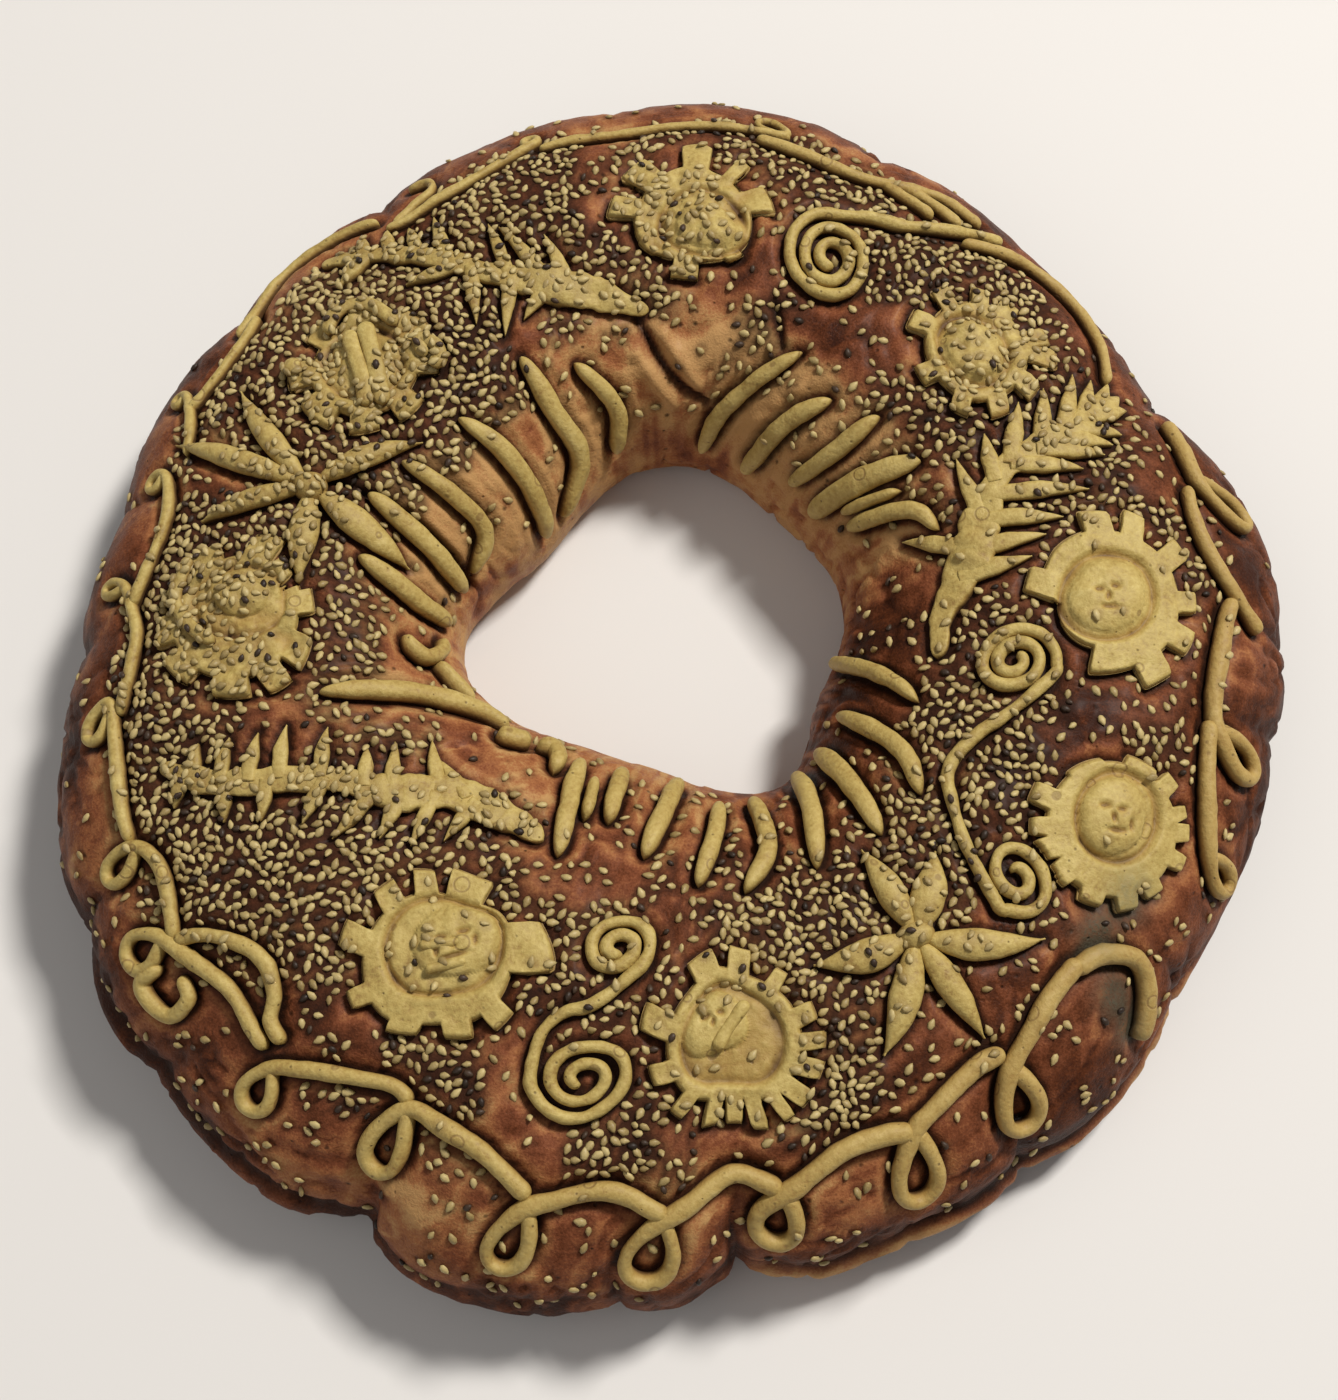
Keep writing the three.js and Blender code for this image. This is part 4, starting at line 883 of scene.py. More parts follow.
def squeezed(place, edge, turn):
    """The edge drawn in where it would come closer to the ornaments already laid than the clearance."""
    share = np.linspace(0.45, 1, 23)[:, None]
    spots = crust_point(*shifted(*place, share * edge * np.cos(turn), share * edge * np.sin(turn)))
    laid = np.concatenate([points for _, points, _, _ in pieces_laid])
    laid = laid[np.linalg.norm(laid - crust_point(*place), axis=1) < 1.4 * edge.max()]
    free = nearest_gap(spots.reshape(-1, 3), laid).reshape(share.shape[0], -1) > PLATE_CLEARANCE
    reached = share[np.maximum(np.cumprod(free, axis=0).sum(axis=0) - 1, 0), 0]
    return edge * among_neighbours(reached, 4, np.min)


def in_halves(along, outward, middle, halves):
    """How far places lie from a middle, 1 where the ellipse with those half sizes runs."""
    return np.hypot((along - middle[0]) / halves[0], (outward - middle[1]) / halves[1])


def rosette(place, radius, depth, ring_at, ring, button_at, button, height, worn, number):
    """A toothed plate with a rounded edge, less a bell-shaped groove along the ring and dents, plus half
    an ellipsoid for the button, and lumps that grow with its wear, draped over the crust. Its rows run
    from the middle to a smooth line within the teeth, on to the edge, then down and back underneath."""
    turn = np.linspace(0, 2 * np.pi, ROSETTE_COLUMNS, endpoint=False)
    edge = squeezed(place, toothed(turn, radius, depth, number), turn)
    inner = 0.96 * among_neighbours(among_neighbours(edge, 12, np.min), 12, np.mean)
    outer_share = 1 - np.linspace(1, 0, 14)[1:, None] ** 1.6
    within = np.linspace(0.02, 1, 32)[:, None] * inner
    far = np.concatenate([within, inner + outer_share * (edge - inner)])
    along, outward = far * np.cos(turn), far * np.sin(turn)
    inset = np.clip(1 - (edge - far) / PLATE_EDGE, 0, 1)
    rise = PLATE_HEIGHT * np.sqrt(1 - 0.96 * inset**2)
    off_ring = (in_halves(along, outward, ring_at, ring) - 1) * (ring[0] + ring[1]) / 2
    groove = bell(off_ring, RING_HALF_WIDTH)
    rise -= (RING_DEPTH - 0.8 * min(worn, 1)) * groove
    rise -= CUP_DEPTHS.get(number, PLAIN_CUP_DEPTH) * smooth_step(-off_ring, 0.0, 1.5)
    inside = in_halves(along, outward, button_at, button)
    rise += height * np.sqrt(np.clip(1 - inside**2, 0, 1))
    spot = crust_point(*shifted(*place, along, outward))
    rise += (0.12 + 0.95 * worn) * lumps(spot, 6.0, 40 + number)
    rise += (0.14 + 0.5 * worn) * lumps(spot, 2.4, 41 + number)
    rise -= 0.5 * worn
    cosine, sine = cos_of(place[0]), sin_of(place[0])
    to_right = cosine * (outward - button_at[1]) - sine * (along - button_at[0])
    to_far = sine * (outward - button_at[1]) + cosine * (along - button_at[0])
    dented = np.zeros(rise.shape)
    for dent in DENTS.get(number, ()):
        off = in_halves(to_right, to_far, dent[:2], dent[2:])
        dented = np.maximum(dented, np.minimum(1.4 * bell(off, 1), 1))
    rise -= DENT_DEPTH * dented
    under = np.array([0.4 * PLATE_HEIGHT, -STRAND_SINK, -STRAND_SINK])[:, None] + 0 * edge
    pulled = np.array([1.01, 0.99, 0.5])[:, None] * edge
    rise = np.concatenate([rise, under])
    along = np.concatenate([along, pulled * np.cos(turn)])
    outward = np.concatenate([outward, pulled * np.sin(turn)])
    there = shifted(*place, along, outward)
    rows = crust_point(*there) + crust_normal(*there) * rise[..., None]
    low = 1 - np.clip(rise / PLATE_HEIGHT, 0, 1)
    # Painted shade: the ring's groove and the dents count as low, so the dough darkens there as at its
    # foot.
    low[: len(dented)] = np.maximum(low[: len(dented)], np.maximum(0.8 * dented, 0.66 * groove))
    return skin_of(rows, low)


for number, values in enumerate(ROSETTES, 1):
    skins = [rosette(*values[:-1], number)]
    for half_width, *places in ROSETTE_BARS.get(number, ()):
        angle, across, share, length = even_route(*smooth_route(places))
        size = round_ends(share, length, half_width)
        skins.append(strand(angle, across, half_width, BAR_HEIGHT, size, lift=BAR_LIFT))
    dough_piece(f"rosette_{number:02d}", skins, toast=0.1, seeding=values[-1])


# The crust: the loaf's own skin, brushed with egg and baked reddish brown. The dough swells between the
# ornaments and stays down beside them, wrinkles on top, folds under at the rim and is golden on ridges.
RING_COLUMNS = 720
CRUST_ROWS = 131
BASE_ROWS = 5
BASE_ACROSS = np.arccos(-BULGE_HEIGHT / (RING_HEIGHT - BULGE_HEIGHT)) / (np.pi / 2)
SWELL, SWELL_REACH = 1.7, 5.0
GROOVE, GROOVE_HALF_WIDTH = 1.0, 1.3
RIPPLE, RIPPLE_LENGTH = 0.4, 3.6
WRINKLE_DEPTH = 1.3
PINCH_HALF_WIDTH = 2.0
FOLD_DEPTH, FOLD_HALF_WIDTH, FOLD_ACROSS = 1.6, 3.2, 0.93
MM_PER_ACROSS = 66
LIP_HEIGHT, LIP_HALF_WIDTH, LIP_BELOW_FOLD = 1.8, 0.06, 0.08
FOOT_HEIGHTS = (0.5, 9.0)
CREASE_DEPTH = 0.7
CRACK_DEPTH, CRACK_HALF_WIDTH = 2.8, 1.2
RIDGE_HEIGHT, RIDGE_HALF_WIDTH = 1.6, 1.8
SEAM_AND_SHADE_HALF_WIDTH = 1.3
TALLEST_ORNAMENT = 12.0
BASE_GOLD = 0.25
# Folds low on the rim: where each starts and ends, its place across and its gold. Then more and less gold
# parts, each with the angle of its middle, its half width in degrees and how much, the first of them
# painted light on the hole's wall at the far right; shiny dark patches and grey stains, each a place and a
# size; and cracks and ridges by the places along them.
LIPS = ((272, 336, 0.98, 0.7), (204, 248, 0.89, 0.15))
GOLD_AND_PAINTED_LIGHT_FIELDS = (
    ("inward", 55, 26, 0.4), ("inward", 4, 15, -0.3), ("low wall", 93, 14, -0.14),
    ("shoulder", 246, 20, 0.32),
)
GLAZED = ((20.5, 0.45, 15.0), (352, 0.42, 11.0), (349, 0.12, 8.0))
STAINS = ((328, 0.43, 7.0), (322, 0.4, 6.0), (319, 0.55, 6.0), (318, 0.68, 5.0))
CRACKS = (
    ((156, -0.06), (156, -0.33), (157, -0.55), (159, -0.83)),
    ((97, -0.33), (95, -0.42), (93, -0.51), (89, -0.6), (84, -0.66)),
    ((74, -0.19), (71, -0.31)),
)
RIDGES = (((93, -0.39), (90, -0.48), (86, -0.57)), ((98, -0.46), (95, -0.57), (91, -0.67)))


def crust_rows():
    """The section's places across, even steps apart on the arc of one section, rim side first."""
    across = np.linspace(BASE_ACROSS, -BASE_ACROSS, 2000)
    arc = crust_point(180.0, across)
    far = np.concatenate([[0], np.cumsum(np.linalg.norm(np.diff(arc, axis=0), axis=1))])
    return np.interp(np.linspace(0, far[-1], CRUST_ROWS), far, across)


def rim_lips(angle, point):
    """For each fold low on the rim: 1 along it with soft ends, its wandering place across and its gold."""
    for start, end, at, gold in LIPS:
        along = smooth_step(angle, start, start + 12) * (1 - smooth_step(angle, end - 12, end))
        yield along, at + 0.04 * lumps(point, 30.0, 93), gold


def rim_wrinkles(angle, across):
    """Thin creases along the lobes of the rim: the ridges of a noise that is drawn out along the ring."""
    place = np.stack([0.16 * angle, 14 * across + 0.12 * angle, 0 * angle], axis=-1)
    crease = smooth_step(1 - np.abs(lumps(place, 1.0, 103)), 0.82, 1.0)
    near = smooth_step(-sin_of(angle), -0.3, 0.5)
    return crease * near * smooth_step(across, 0.55, 0.65) * smooth_step(lumps(place, 2.7, 104), -0.3, 0.3)


def crust_relief(angle, across, point, gap, crack_gap, ridge_gap):
    """How far the baked crust stands off the loaf's plain form: a swell that grows with the gap to the
    nearest ornament, a groove beside it and ripples that follow it, wrinkles, folds round the rim and
    creases, all dying out above the tray, and then the cracks and ridges."""
    held = np.exp(-gap / SWELL_REACH)
    free = 1 - held
    relief = SWELL * free * (1 + 0.5 * lumps(point, 26.0, 81) + 0.35 * lumps(point, 11.0, 82))
    relief *= 1 - 0.75 * smooth_step(across, 0.55, 0.85)
    relief -= GROOVE * bell(gap, GROOVE_HALF_WIDTH)
    ripple = np.cos(2 * np.pi * gap / RIPPLE_LENGTH + 2 * lumps(point, 14.0, 83))
    relief += RIPPLE * ripple * held * smooth_step(gap, 1, 2)
    wrinkle = 1 - np.abs(lumps(point + 6 * lumps(point, 17.0, 84)[..., None], 8.0, 85))
    wrinkled = smooth_step(wrinkle, 0.72, 1.0) * smooth_step(lumps(point, 33.0, 86), -0.5, 0.3)
    relief -= WRINKLE_DEPTH * free * wrinkled
    relief += 0.3 * free * lumps(point, 4.0, 87)
    rim = smooth_step(across, 0.5, 0.8)
    for at, deep, _ in RIM_PINCHES:
        apart = degrees_apart(angle, at + 1.5 * lumps(point, 19.0, 88)) * np.radians(1) * RIM_RADIUS
        relief -= (0.8 + 0.4 * deep) * rim * bell(apart, PINCH_HALF_WIDTH)
    fold = (across - FOLD_ACROSS - 0.05 * lumps(point, 34.0, 89)) * MM_PER_ACROSS
    relief -= FOLD_DEPTH * bell(fold, FOLD_HALF_WIDTH) * smooth_step(lumps(point, 60.0, 90), -0.7, 0.1)
    for lip, fold_at, _ in rim_lips(angle, point):
        relief += lip * LIP_HEIGHT * bell(across - fold_at - LIP_BELOW_FOLD, LIP_HALF_WIDTH)
        relief -= lip * LIP_HEIGHT * bell(across - fold_at, 0.035)
    relief -= CREASE_DEPTH * rim_wrinkles(angle, across)
    relief *= smooth_step(point[..., 2], *FOOT_HEIGHTS)
    relief -= CRACK_DEPTH * bell(crack_gap, CRACK_HALF_WIDTH)
    return relief + RIDGE_HEIGHT * bell(ridge_gap, RIDGE_HALF_WIDTH)


def gap_to_lines(point, lines):
    """The distance from the crust's points to the nearest of some lines, each given by its places."""
    routes = [crust_point(*even_route(*smooth_route(places))[:2]) for places in lines]
    return nearest_gap(point.reshape(-1, 3), np.concatenate(routes)).reshape(point.shape[:-1])


def patches(point, spots):
    """Bells round spots on the crust, each given as a place and a size in millimetres."""
    return sum(bell(np.linalg.norm(point - crust_point(*spot), axis=-1), size) for *spot, size in spots)


def crust_gold_and_painted_light(angle, across, point, gap, relief, ridge_gap):
    """How gold the crust is, from 0 to 1: patchy, and more so beside ornaments, on what stands up and on
    the hole's wall, and less where it is glazed dark or low down. Painted light and shade are mixed in:
    darker on the right, on the left of the rim's wall and in the rim's creases, which is painted shade, and
    lighter on the hole's wall at the far right, which is painted light."""
    beside = bell(gap - 2.2, 1.8) * smooth_step(gap, 0.4, 1.2)
    gold_and_painted_light = 0.31 + 0.3 * beside + 0.22 * lumps(point, 21.0, 91) + 0.16 * lumps(point, 6.0, 92)
    gold_and_painted_light += 0.14 * (relief - 0.6)
    wall = smooth_step(-across, 0.35, 0.7)
    around = angle[..., None] * (0.9, 0, 0) + across[..., None] * (0, 9, 0)
    gold_and_painted_light += wall * (0.16 + 0.22 * lumps(around, 2.6, 95) + 0.14 * lumps(around, 1.1, 96))
    gold_and_painted_light += 0.16 * smooth_step(-across, 0.62, 0.9) + 0.25 * bell(ridge_gap, 1.6)
    gold_and_painted_light -= 0.3 * smooth_step(across, 0.85, 1.1)
    # Painted shade: darker on the right, most on the hole's wall.
    gold_and_painted_light -= (0.08 + 0.22 * wall) * np.clip(cos_of(angle), 0, 1)
    gold_and_painted_light -= 0.3 * patches(point, GLAZED)
    # Painted shade on the left of the rim's wall.
    gold_and_painted_light -= 0.35 * smooth_step(across, 0.75, 1.0) * np.clip(cos_of(angle - 200), 0, 1)
    for lip, fold_at, gold in rim_lips(angle, point):
        gold_and_painted_light += gold * lip * bell(across - fold_at - LIP_BELOW_FOLD, LIP_HALF_WIDTH)
    gold_and_painted_light += 0.35 * smooth_step(-sin_of(angle), 0.85, 0.97) * smooth_step(across, 0.85, 1.0)
    # Painted shade in the rim's creases.
    gold_and_painted_light -= 0.25 * rim_wrinkles(angle, across)
    inward = smooth_step(-across, 0.18, 0.35) * (1 - 0.55 * smooth_step(-across, 0.7, 0.9))
    gold_and_painted_light += 0.36 * inward * smooth_step(sin_of(angle), 0.0, 0.55)
    gold_and_painted_light += 0.14 * inward * smooth_step(-cos_of(angle), 0.3, 0.9)
    low_wall = smooth_step(-across, 0.5, 0.75)
    shoulder = smooth_step(across, 0.5, 0.62) * (1 - smooth_step(across, 0.8, 0.95))
    parts = {"inward": inward, "low wall": low_wall, "shoulder": shoulder}
    for part, middle, half_width, much in GOLD_AND_PAINTED_LIGHT_FIELDS:
        gold_and_painted_light += much * parts[part] * bell(degrees_apart(angle, middle), half_width)
    vein = 1 - np.abs(lumps(point + 5 * lumps(point, 11.0, 97)[..., None], 10.0, 98))
    gold_and_painted_light += 0.3 * smooth_step(vein, 0.8, 1.0) * smooth_step(lumps(point, 30.0, 99), -0.4, 0.3)
    return np.clip(gold_and_painted_light, 0, 1)


def over_base(values, at_base):
    """Values of the crust's points, with one value for the points of the flat base."""
    return np.concatenate([values, np.full((RING_COLUMNS, BASE_ROWS), at_base)], axis=1).ravel()


columns = np.arange(RING_COLUMNS) * 360 / RING_COLUMNS
ring_angle, ring_across = np.meshgrid(columns, crust_rows(), indexing="ij")
plain = crust_point(ring_angle, ring_across)
straight_out = crust_normal(ring_angle, ring_across)
_, laid_points, laid_faces, _ = zip(*pieces_laid)
ornament_points = np.concatenate(laid_points)
ornament_faces = renumbered(laid_points, laid_faces)
ornaments = BVHTree.FromPolygons(ornament_points.tolist(), ornament_faces.tolist())
rays = zip(plain.reshape(-1, 3).tolist(), straight_out.reshape(-1, 3).tolist())
covered = np.array([ornaments.ray_cast(start, way, TALLEST_ORNAMENT)[0] is not None for start, way in rays])
gap = np.maximum(nearest_gap(plain.reshape(-1, 3), ornament_points[::3]) - 0.5, 0)
gap = np.where(covered, 0, gap).reshape(ring_angle.shape)
crack_gap, ridge_gap = gap_to_lines(plain, CRACKS), gap_to_lines(plain, RIDGES)
relief = crust_relief(ring_angle, ring_across, plain, gap, crack_gap, ridge_gap)
crust = plain + straight_out * relief[..., None]
crust[:, [0, -1], 2] = 0
base_share = np.linspace(0, 1, BASE_ROWS + 2)[1:-1, None]
base = crust[:, -1][:, None] * (1 - base_share) + crust[:, 0][:, None] * base_share
ring_points = np.concatenate([crust, base], axis=1).reshape(-1, 3)

section = CRUST_ROWS + BASE_ROWS
column, row = np.meshgrid(np.arange(RING_COLUMNS), np.arange(section), indexing="ij")
next_column, next_row = (column + 1) % RING_COLUMNS, (row + 1) % section
corners = ((column, row), (next_column, row), (next_column, next_row), (column, next_row))
ring_quads = np.stack([c * section + r for c, r in corners], axis=-1).reshape(-1, 4)
# Seams beside ornaments are partly baked dark and partly painted shade; the cracks and the crease over each
# lip get painted shade.
seam_and_shade = bell(gap, SEAM_AND_SHADE_HALF_WIDTH) + 1.5 * bell(crack_gap, SEAM_AND_SHADE_HALF_WIDTH)
for lip, fold_at, _ in rim_lips(ring_angle, plain):
    seam_and_shade += 0.8 * lip * bell(ring_across - fold_at, 0.03)
gold_and_painted_light = crust_gold_and_painted_light(ring_angle, ring_across, plain, gap, relief, ridge_gap)
ring_values = {"gold_and_painted_light": over_base(gold_and_painted_light, BASE_GOLD), "seam_and_shade": over_base(np.clip(seam_and_shade, 0, 1), 0.0)}


def brown_crust():
    """Glazed crust: a ramp from burnt brown through reddish brown to gold, driven by the gold value, which
    holds some painted light and shade, and by the oven's mottle; near black in seams, partly baked dark and
    partly painted shade, and in cracks and folds and round and between seeds, which is painted shade; with
    blisters and pores, and grey where stained."""
    material, tree, shader = baked_material("Brown crust")
    mottle = mottle_in(tree, patch_size=16, pore_size=4.5, pore_share=0.35)
    fine = mottle_in(tree, patch_size=4.5, grain_size=0.7)
    mottling = ((mottle["Patches"], 0.5), (fine["Patches"], 0.5), (fine["Grain"], 0.6))
    tone = summed(tree, -0.8, (attribute_of(tree, "gold_and_painted_light"), 1.0), *mottling)
    brown = tone_ramp(
        tree,
        tone,
        (0.0, 0.04, 0.012, 0.006),
        (0.22, 0.095, 0.027, 0.01),
        (0.45, 0.19, 0.059, 0.025),
        (0.7, 0.33, 0.13, 0.05),
        (1.0, 0.47, 0.265, 0.105),
    )
    speckle = reckoned(tree, "MULTIPLY", fine["Grain"], 1.5)
    brown = tinted(
        tree,
        brown,
        # Near black in seams beside ornaments, partly baked dark and partly painted shade, and painted
        # shade in cracks and folds.
        (attribute_of(tree, "seam_and_shade"), 0.85, (0.016, 0.008, 0.005)),
        # Painted shade round each seed and between crowded seeds.
        (attribute_of(tree, "halo"), 0.9, (0.022, 0.01, 0.006)),
        (mottle["Pores"], 0.8, (0.012, 0.006, 0.004)),
        (attribute_of(tree, "stain"), speckle, (0.075, 0.068, 0.045)),
    )
    rough = summed(tree, 0.3, (mottle["Patches"], 0.35), (attribute_of(tree, "halo"), 0.4))
    height = summed(tree, 0.0, (fine["Grain"], 0.35), (fine["Patches"], 0.9), (mottle["Pores"], -0.5))
    finish = {"Base Color": brown, "Roughness": rough, "Specular IOR Level": 0.07}
    connect(tree, shader, {**finish, "Normal": bumped(tree, height, 0.85, 0.8)})
    connect(tree, shader, {"Coat Weight": 0.03, "Coat Roughness": 0.3})
    return material


no_triangles = np.zeros((0, 3), int)
crust_finish = (ring_values, brown_crust(), "brown_crust", ["bread_ring"])
ring_piece = mesh_piece("bread_ring_crust", ring_points, ring_quads, no_triangles, *crust_finish)
ring_halves = halved(ring_quads, no_triangles)
pieces_laid.append((ring_piece, ring_points, ring_halves, 1.0))
for piece, points, _, _ in pieces_laid:
    carry(piece.data, stain=np.clip(1.3 * patches(points, STAINS), 0, 1))


# Seeds: toasted sesame, tan with a pointed end, and fewer small dark seeds, strewn by hand over the damp
# glaze before baking. They lie flat at all angles, thickest on the left, and leave the rim's lobes, the
# foot of the walls and some patches bare. Round each seed, and between seeds where they crowd, the crust
# and dough are darkened with painted shade.
SEEDS_THROWN = 21800
DARK_EVERY = 10
SESAME_HALVES = (1.55, 1.06, 0.62)
DARK_HALVES = (1.25, 0.9, 0.7)
SEED_SIZES = (0.82, 1.16)
SEED_TILT = 0.22
SEED_LIFT = 0.45
# How far the painted shade round each seed reaches and fades, and how many seeds near a point give the
# crust painted shade between them.
SEED_SHADE_REACH, SEED_SHADE_FADE = 2.6, 1.3
CROWD_REACH, CROWD_COUNTS = 5.5, (2, 9)
SEED_FOOT = 6.0
SEED_CLEARANCE = 0.6
SEED_SPACING = 2.1
# Places where seeds lie thicker: an angle, a place across, a half width in both, and how much.
SEED_FIELDS = (
    (205, 0.12, 26, 0.4, 2.0), (175, 0.12, 20, 0.4, 1.6), (132, 0.16, 20, 0.36, 1.5),
    (103, 0.2, 12, 0.35, 1.2), (62, 0.16, 12, 0.32, 0.9), (15, -0.05, 7, 0.3, 1.0),
    (346, 0.14, 6, 0.28, 0.9), (338, -0.06, 14, 0.26, 1.1), (305, 0.1, 18, 0.36, 0.9),
    (284, 0.1, 7, 0.3, 1.0), (264, 0.38, 16, 0.08, 0.8),
)
# Places that stay bare: an angle, a place across and a radius in millimetres.
BARE_PATCHES = (
    (86, -0.3, 11), (244, -0.5, 10), (20, 0.39, 12), (354, 0.4, 8), (12, -0.66, 22), (246, -0.2, 8),
    (264, -0.28, 12), (248, 0.47, 9), (317, 0.4, 13), (190, -0.45, 11), (168, -0.3, 8), (215, -0.45, 12),
    (112, -0.42, 9),
)


def seeds_per_area(points, angle, across):
    """How thickly seeds lie: an even scatter over the top and rounded fields, with bare patches."""
    fields = sum(
        much * np.exp(-((degrees_apart(angle, middle) / wide) ** 2) - ((across - out) / deep) ** 4)
        for middle, out, wide, deep, much in SEED_FIELDS
    )
    top = smooth_step(across, -0.5, -0.2)
    patchy = np.clip(0.45 + 1.4 * lumps(points, 21.0, 101) + 0.8 * lumps(points, 8.0, 102), 0.02, 2)
    thick = (fields + 0.5 * top) * patchy * (1 - smooth_step(across, 0.45, 0.54))
    for bare_angle, bare_across, radius in BARE_PATCHES:
        away = np.linalg.norm(points - crust_point(bare_angle, bare_across), axis=-1)
        thick = thick * (0.12 + 0.88 * smooth_step(away, 0.7 * radius, 1.2 * radius))
    lobes = smooth_step(across, 0.45, 0.55) * smooth_step(sin_of(angle), -0.6, -0.1)
    thin = 0.022 * smooth_step(across, -0.95, -0.6) * (1 - smooth_step(across, 0.75, 0.95))
    return thick + thin * (1 - 0.75 * lobes)


def across_of(points):
    """The angle and the place across of points near the crust, from how far out they lie."""
    angle = np.degrees(np.arctan2(points[:, 1], points[:, 0]))
    radius = np.linalg.norm(points[:, :2], axis=1)
    crest, inward, outward = section_radii(angle)
    reach = np.where(radius > crest, outward, inward)
    return angle, np.arcsin(np.clip((radius - crest) / reach, -1, 1)) / (np.pi / 2)


def spread_out(places, apart):
    """The numbers of the places that stay when each one too close to an earlier one is dropped."""
    cells, kept = {}, []
    for number, place in enumerate(places):
        x, y, z = np.floor(place / apart).astype(int).tolist()
        beside = [cells.get((x + i, y + j, z + k)) for i, j, k in np.ndindex(3, 3, 3)]
        if all(other is None or ((place - other) ** 2).sum() > apart**2 for other in beside):
            cells[x + 1, y + 1, z + 1] = place
            kept.append(number)
    return kept


def strewn(count, draw):
    """Seeded places on faces that look up, drawn by area times how thickly seeds lie, with normals."""
    luck = np.random.default_rng(draw)
    corners = np.concatenate([points[faces] for _, points, faces, _ in pieces_laid])
    ready = np.concatenate([np.full(len(faces), seeding) for _, _, faces, seeding in pieces_laid])
    cross = np.cross(corners[:, 1] - corners[:, 0], corners[:, 2] - corners[:, 0])
    area = np.linalg.norm(cross, axis=1) / 2
    normal = cross / np.maximum(2 * area, 1e-9)[:, None]
    middle = corners.mean(axis=1)
    angle, across = across_of(middle)
    hidden = middle[:, 2] < SEED_FOOT
    hidden[-len(ring_halves) :] |= (over_base(gap, 0.0)[ring_halves] < SEED_CLEARANCE).any(axis=1)
    leaning = np.einsum("ij,ij->i", normal, crust_normal(angle, across))
    weight = area * ready * seeds_per_area(middle, angle, across)
    weight = weight * smooth_step(leaning, 0.45, 0.8) * ~hidden
    chosen = luck.choice(len(area), count, p=weight / weight.sum())
    share = np.sort(luck.random((count, 2)), axis=1)
    share = np.stack([share[:, 0], share[:, 1] - share[:, 0], 1 - share[:, 1]], axis=1)
    return np.einsum("ij,ijk->ik", share, corners[chosen]), normal[chosen]


def seeds(name, place, normal, draw, halves, pointed, material):
    """One mesh of many seeds: an ellipsoid of few faces, drawn to a point at one end, is turned and
    tipped at random on its place and sunk a little. Each seed carries its own shade."""
    luck = np.random.default_rng(draw)
    count, rings, sides = len(place), 3, 6
    drop = np.linspace(0, np.pi, rings + 2)[1:-1, None]
    turn = np.linspace(0, 2 * np.pi, sides, endpoint=False)
    narrow = 1 - pointed * smooth_step(np.cos(drop), 0.0, 1.0)
    widths = (np.cos(drop) + 0 * turn, narrow * np.sin(drop) * np.cos(turn), np.sin(drop) * np.sin(turn))
    shape = np.stack(widths, axis=-1)
    shape = np.concatenate([shape.reshape(-1, 3), [[1.08, 0, 0], [-1, 0, 0]]])
    _, quads, caps, _ = skin_of(shape[:-2].reshape(rings, sides, 3), np.zeros((rings, sides)))
    way = luck.uniform(0, 2 * np.pi, count)
    tip = luck.normal(0, SEED_TILT, (count, 2))
    flat = unit(np.cross(normal, [[0.31, 0.87, 0.39]]))
    beside = np.cross(normal, flat)
    along = flat * np.cos(way)[:, None] + beside * np.sin(way)[:, None]
    up = unit(normal + along * tip[:, :1] + np.cross(normal, along) * tip[:, 1:])
    along = unit(along - up * np.einsum("ij,ij->i", along, up)[:, None])
    beside = np.cross(up, along)
    size = luck.uniform(*SEED_SIZES, (count, 1, 1))
    axes = np.stack([along, beside, up], axis=1)
    points = place[:, None] + up[:, None] * SEED_LIFT * halves[2]
    points = points + size * np.einsum("vi,nij->nvj", shape * np.array(halves), axes)
    starts = np.arange(count)[:, None, None] * len(shape)
    values = {"shade": np.repeat(luck.random(count), len(shape))}
    faces = ((quads + starts).reshape(-1, 4), (caps + starts).reshape(-1, 3))
    mesh_piece(name + "s", points.reshape(-1, 3), *faces, values, material, name)


def seed_coat(name, dark, light, roughness):
    """A seed's coat: each seed takes its own tone between two colours, with fine grain."""
    material, tree, shader = baked_material(name)
    grain = mottle_in(tree, grain_size=0.5)["Grain"]
    tone = summed(tree, 0.0, (attribute_of(tree, "shade"), 0.6), (grain, 0.5))
    coat = tone_ramp(tree, tone, (0.1, *dark), (0.75, *light))
    finish = {"Base Color": coat, "Roughness": roughness, "Specular IOR Level": 0.3}
    connect(tree, shader, {**finish, "Normal": bumped(tree, grain, 0.2, 0.2)})
    return material


SESAME_COAT = seed_coat("Sesame coat", (0.22, 0.145, 0.05), (0.5, 0.39, 0.17), 0.45)
DARK_COAT = seed_coat("Dark seed coat", (0.012, 0.007, 0.005), (0.06, 0.036, 0.022), 0.5)
seed_place, seed_normal = strewn(SEEDS_THROWN, 301)
kept = np.array(spread_out(seed_place, SEED_SPACING))
seed_place, seed_normal = seed_place[kept], seed_normal[kept]
dark = np.arange(len(kept)) % DARK_EVERY == 0
seeds("sesame_seed", seed_place[~dark], seed_normal[~dark], 302, SESAME_HALVES, 0.42, SESAME_COAT)
seeds("dark_seed", seed_place[dark], seed_normal[dark], 303, DARK_HALVES, 0.25, DARK_COAT)
for piece, points, _, _ in pieces_laid:
    # Painted shade round each seed on every piece, and on the crust between crowded seeds.
    halo = 0.5 * smooth_step(SEED_SHADE_REACH - nearest_gap(points, seed_place), 0.0, SEED_SHADE_FADE)
    if piece == ring_piece:
        crowd = by_sector(points, seed_place, lambda squares: (squares < CROWD_REACH**2).sum(axis=1), 0.0)
        halo += 0.5 * smooth_step(crowd, *CROWD_COUNTS)
    carry(piece.data, halo=halo)


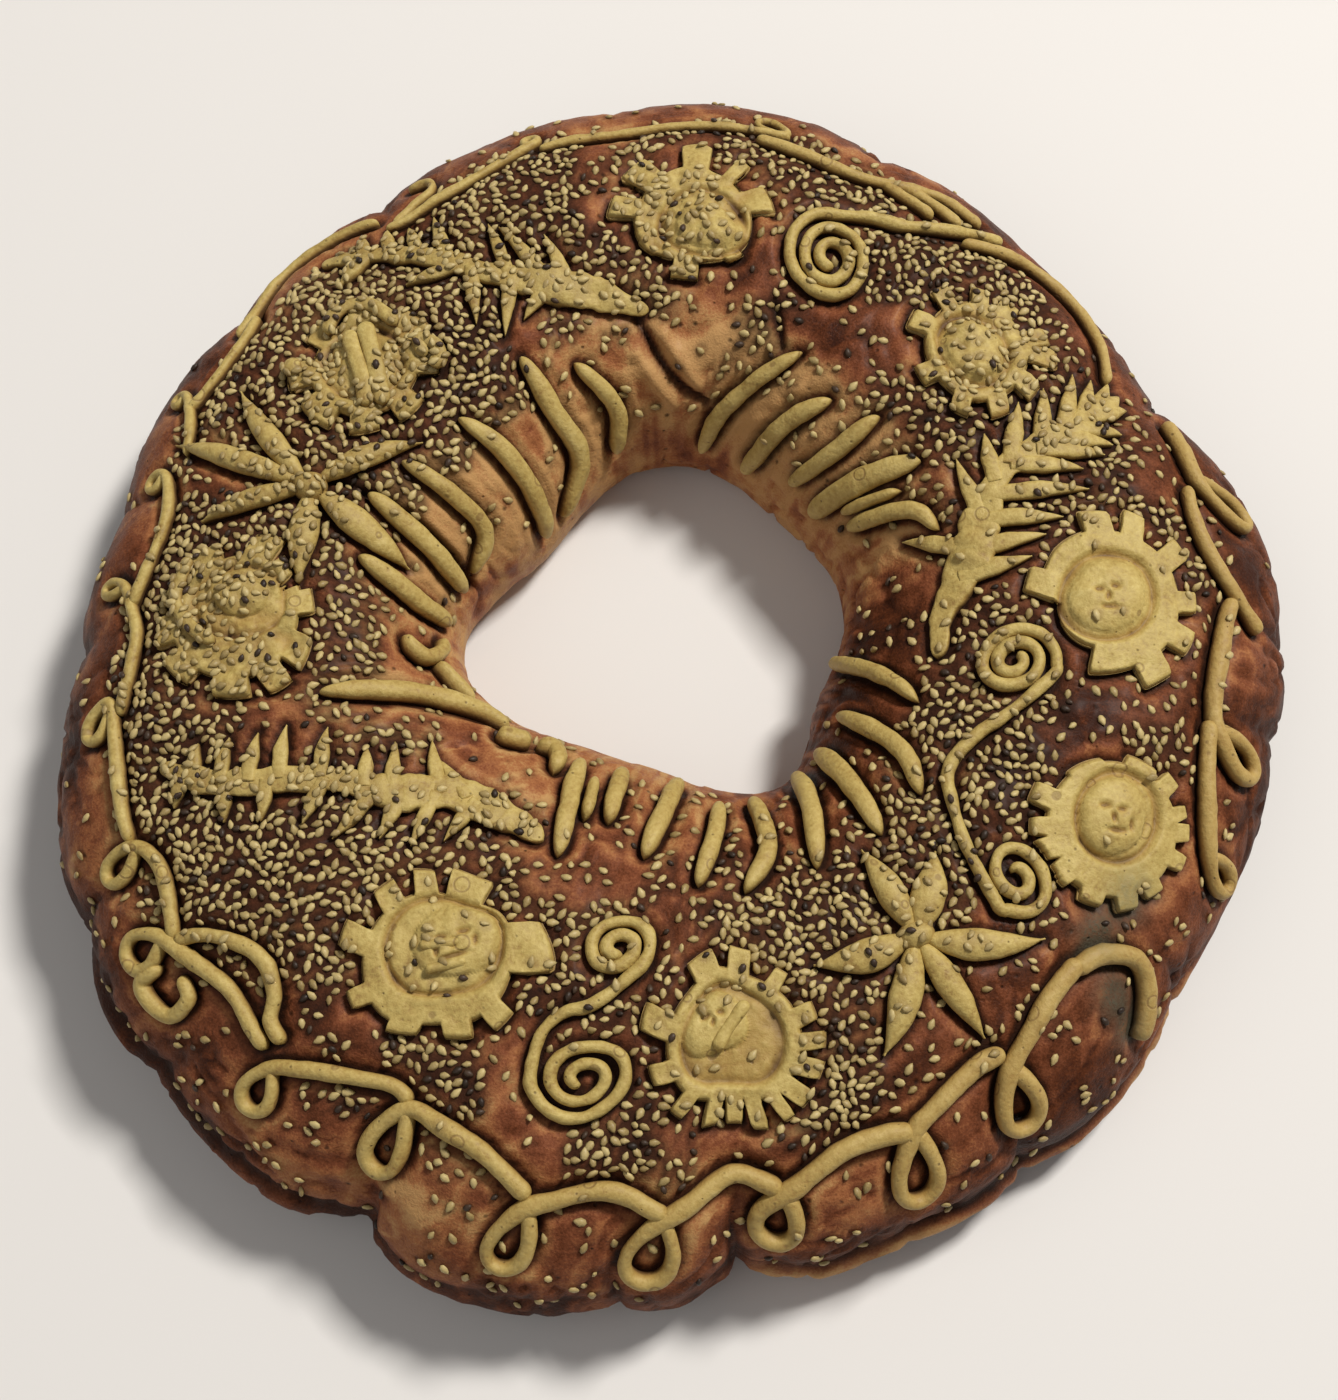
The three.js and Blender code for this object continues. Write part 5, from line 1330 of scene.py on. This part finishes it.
# The stage: a pale floor that the loaf lies on, a soft key light from beyond the right shoulder, a wide
# fill from the left front, and the camera above the near edge, looking steeply down.
FLOOR_SIZE = 4.0
AIM = np.array([-2.5, -11.2, 28.0]) * MM
CAMERA_ELEVATION = 71.0
CAMERA_DISTANCE = 0.72
IMAGE_HEIGHT = 1400
FOCAL_PIXELS = 2628
SENSOR_WIDTH = 36
FLOOR_COLOUR = (0.72, 0.7, 0.68, 1)
FLOOR_ROUGHNESS = 0.8
SKY_COLOUR = (1.0, 0.97, 0.95, 1)
SKY_STRENGTH = 0.17
# Each light is its azimuth, elevation and distance from the aim, its size, its watts and its colour.
KEY = (40, 55, 3.0, 0.55, 100, (1.0, 0.97, 0.92))
FILL = (215, 50, 1.6, 1.6, 5, (1.0, 0.98, 0.96))


def standing_off(azimuth, elevation, distance):
    """The point at a distance from the aim, by its azimuth from +X and its elevation."""
    a, e = np.radians([azimuth, elevation])
    return AIM + distance * np.array([np.cos(e) * np.cos(a), np.cos(e) * np.sin(a), np.sin(e)])


def aimed(made, place):
    """Sets an object at a place, looking at the aim."""
    made.location = place
    made.rotation_euler = Vector(AIM - place).to_track_quat("-Z", "Y").to_euler()
    bpy.context.scene.collection.objects.link(made)
    return made


def soft_light(name, azimuth, elevation, distance, size, watts, colour):
    """A square area light that faces the loaf."""
    lamp = bpy.data.lights.new(name, "AREA")
    lamp.size = size
    lamp.energy = watts
    lamp.color = colour
    return aimed(bpy.data.objects.new(name, lamp), standing_off(azimuth, elevation, distance))


floor_mesh = bpy.data.meshes.new("floor")
half = FLOOR_SIZE / 2
floor_corners = [(-half, -half, 0), (half, -half, 0), (half, half, 0), (-half, half, 0)]
floor_mesh.from_pydata(floor_corners, [], [(0, 1, 2, 3)])
floor = bpy.data.objects.new("floor", floor_mesh)
bpy.context.scene.collection.objects.link(floor)
floor_paint, floor_tree, floor_shader = baked_material("Pale floor")
connect(floor_tree, floor_shader, {"Base Color": FLOOR_COLOUR, "Roughness": FLOOR_ROUGHNESS})
floor_mesh.materials.append(floor_paint)

soft_light("key", *KEY)
soft_light("fill", *FILL)
world = bpy.data.worlds.new("Studio")
world.use_nodes = True
sky = world.node_tree.nodes["Background"]
connect(world.node_tree, sky, {"Color": SKY_COLOUR, "Strength": SKY_STRENGTH})
bpy.context.scene.world = world

lens = bpy.data.cameras.new("camera")
lens.sensor_width = SENSOR_WIDTH
lens.lens = SENSOR_WIDTH * FOCAL_PIXELS / IMAGE_HEIGHT
camera = aimed(bpy.data.objects.new("camera", lens), standing_off(-90, CAMERA_ELEVATION, CAMERA_DISTANCE))
bpy.context.scene.camera = camera
bpy.context.scene.view_settings.view_transform = "Standard"
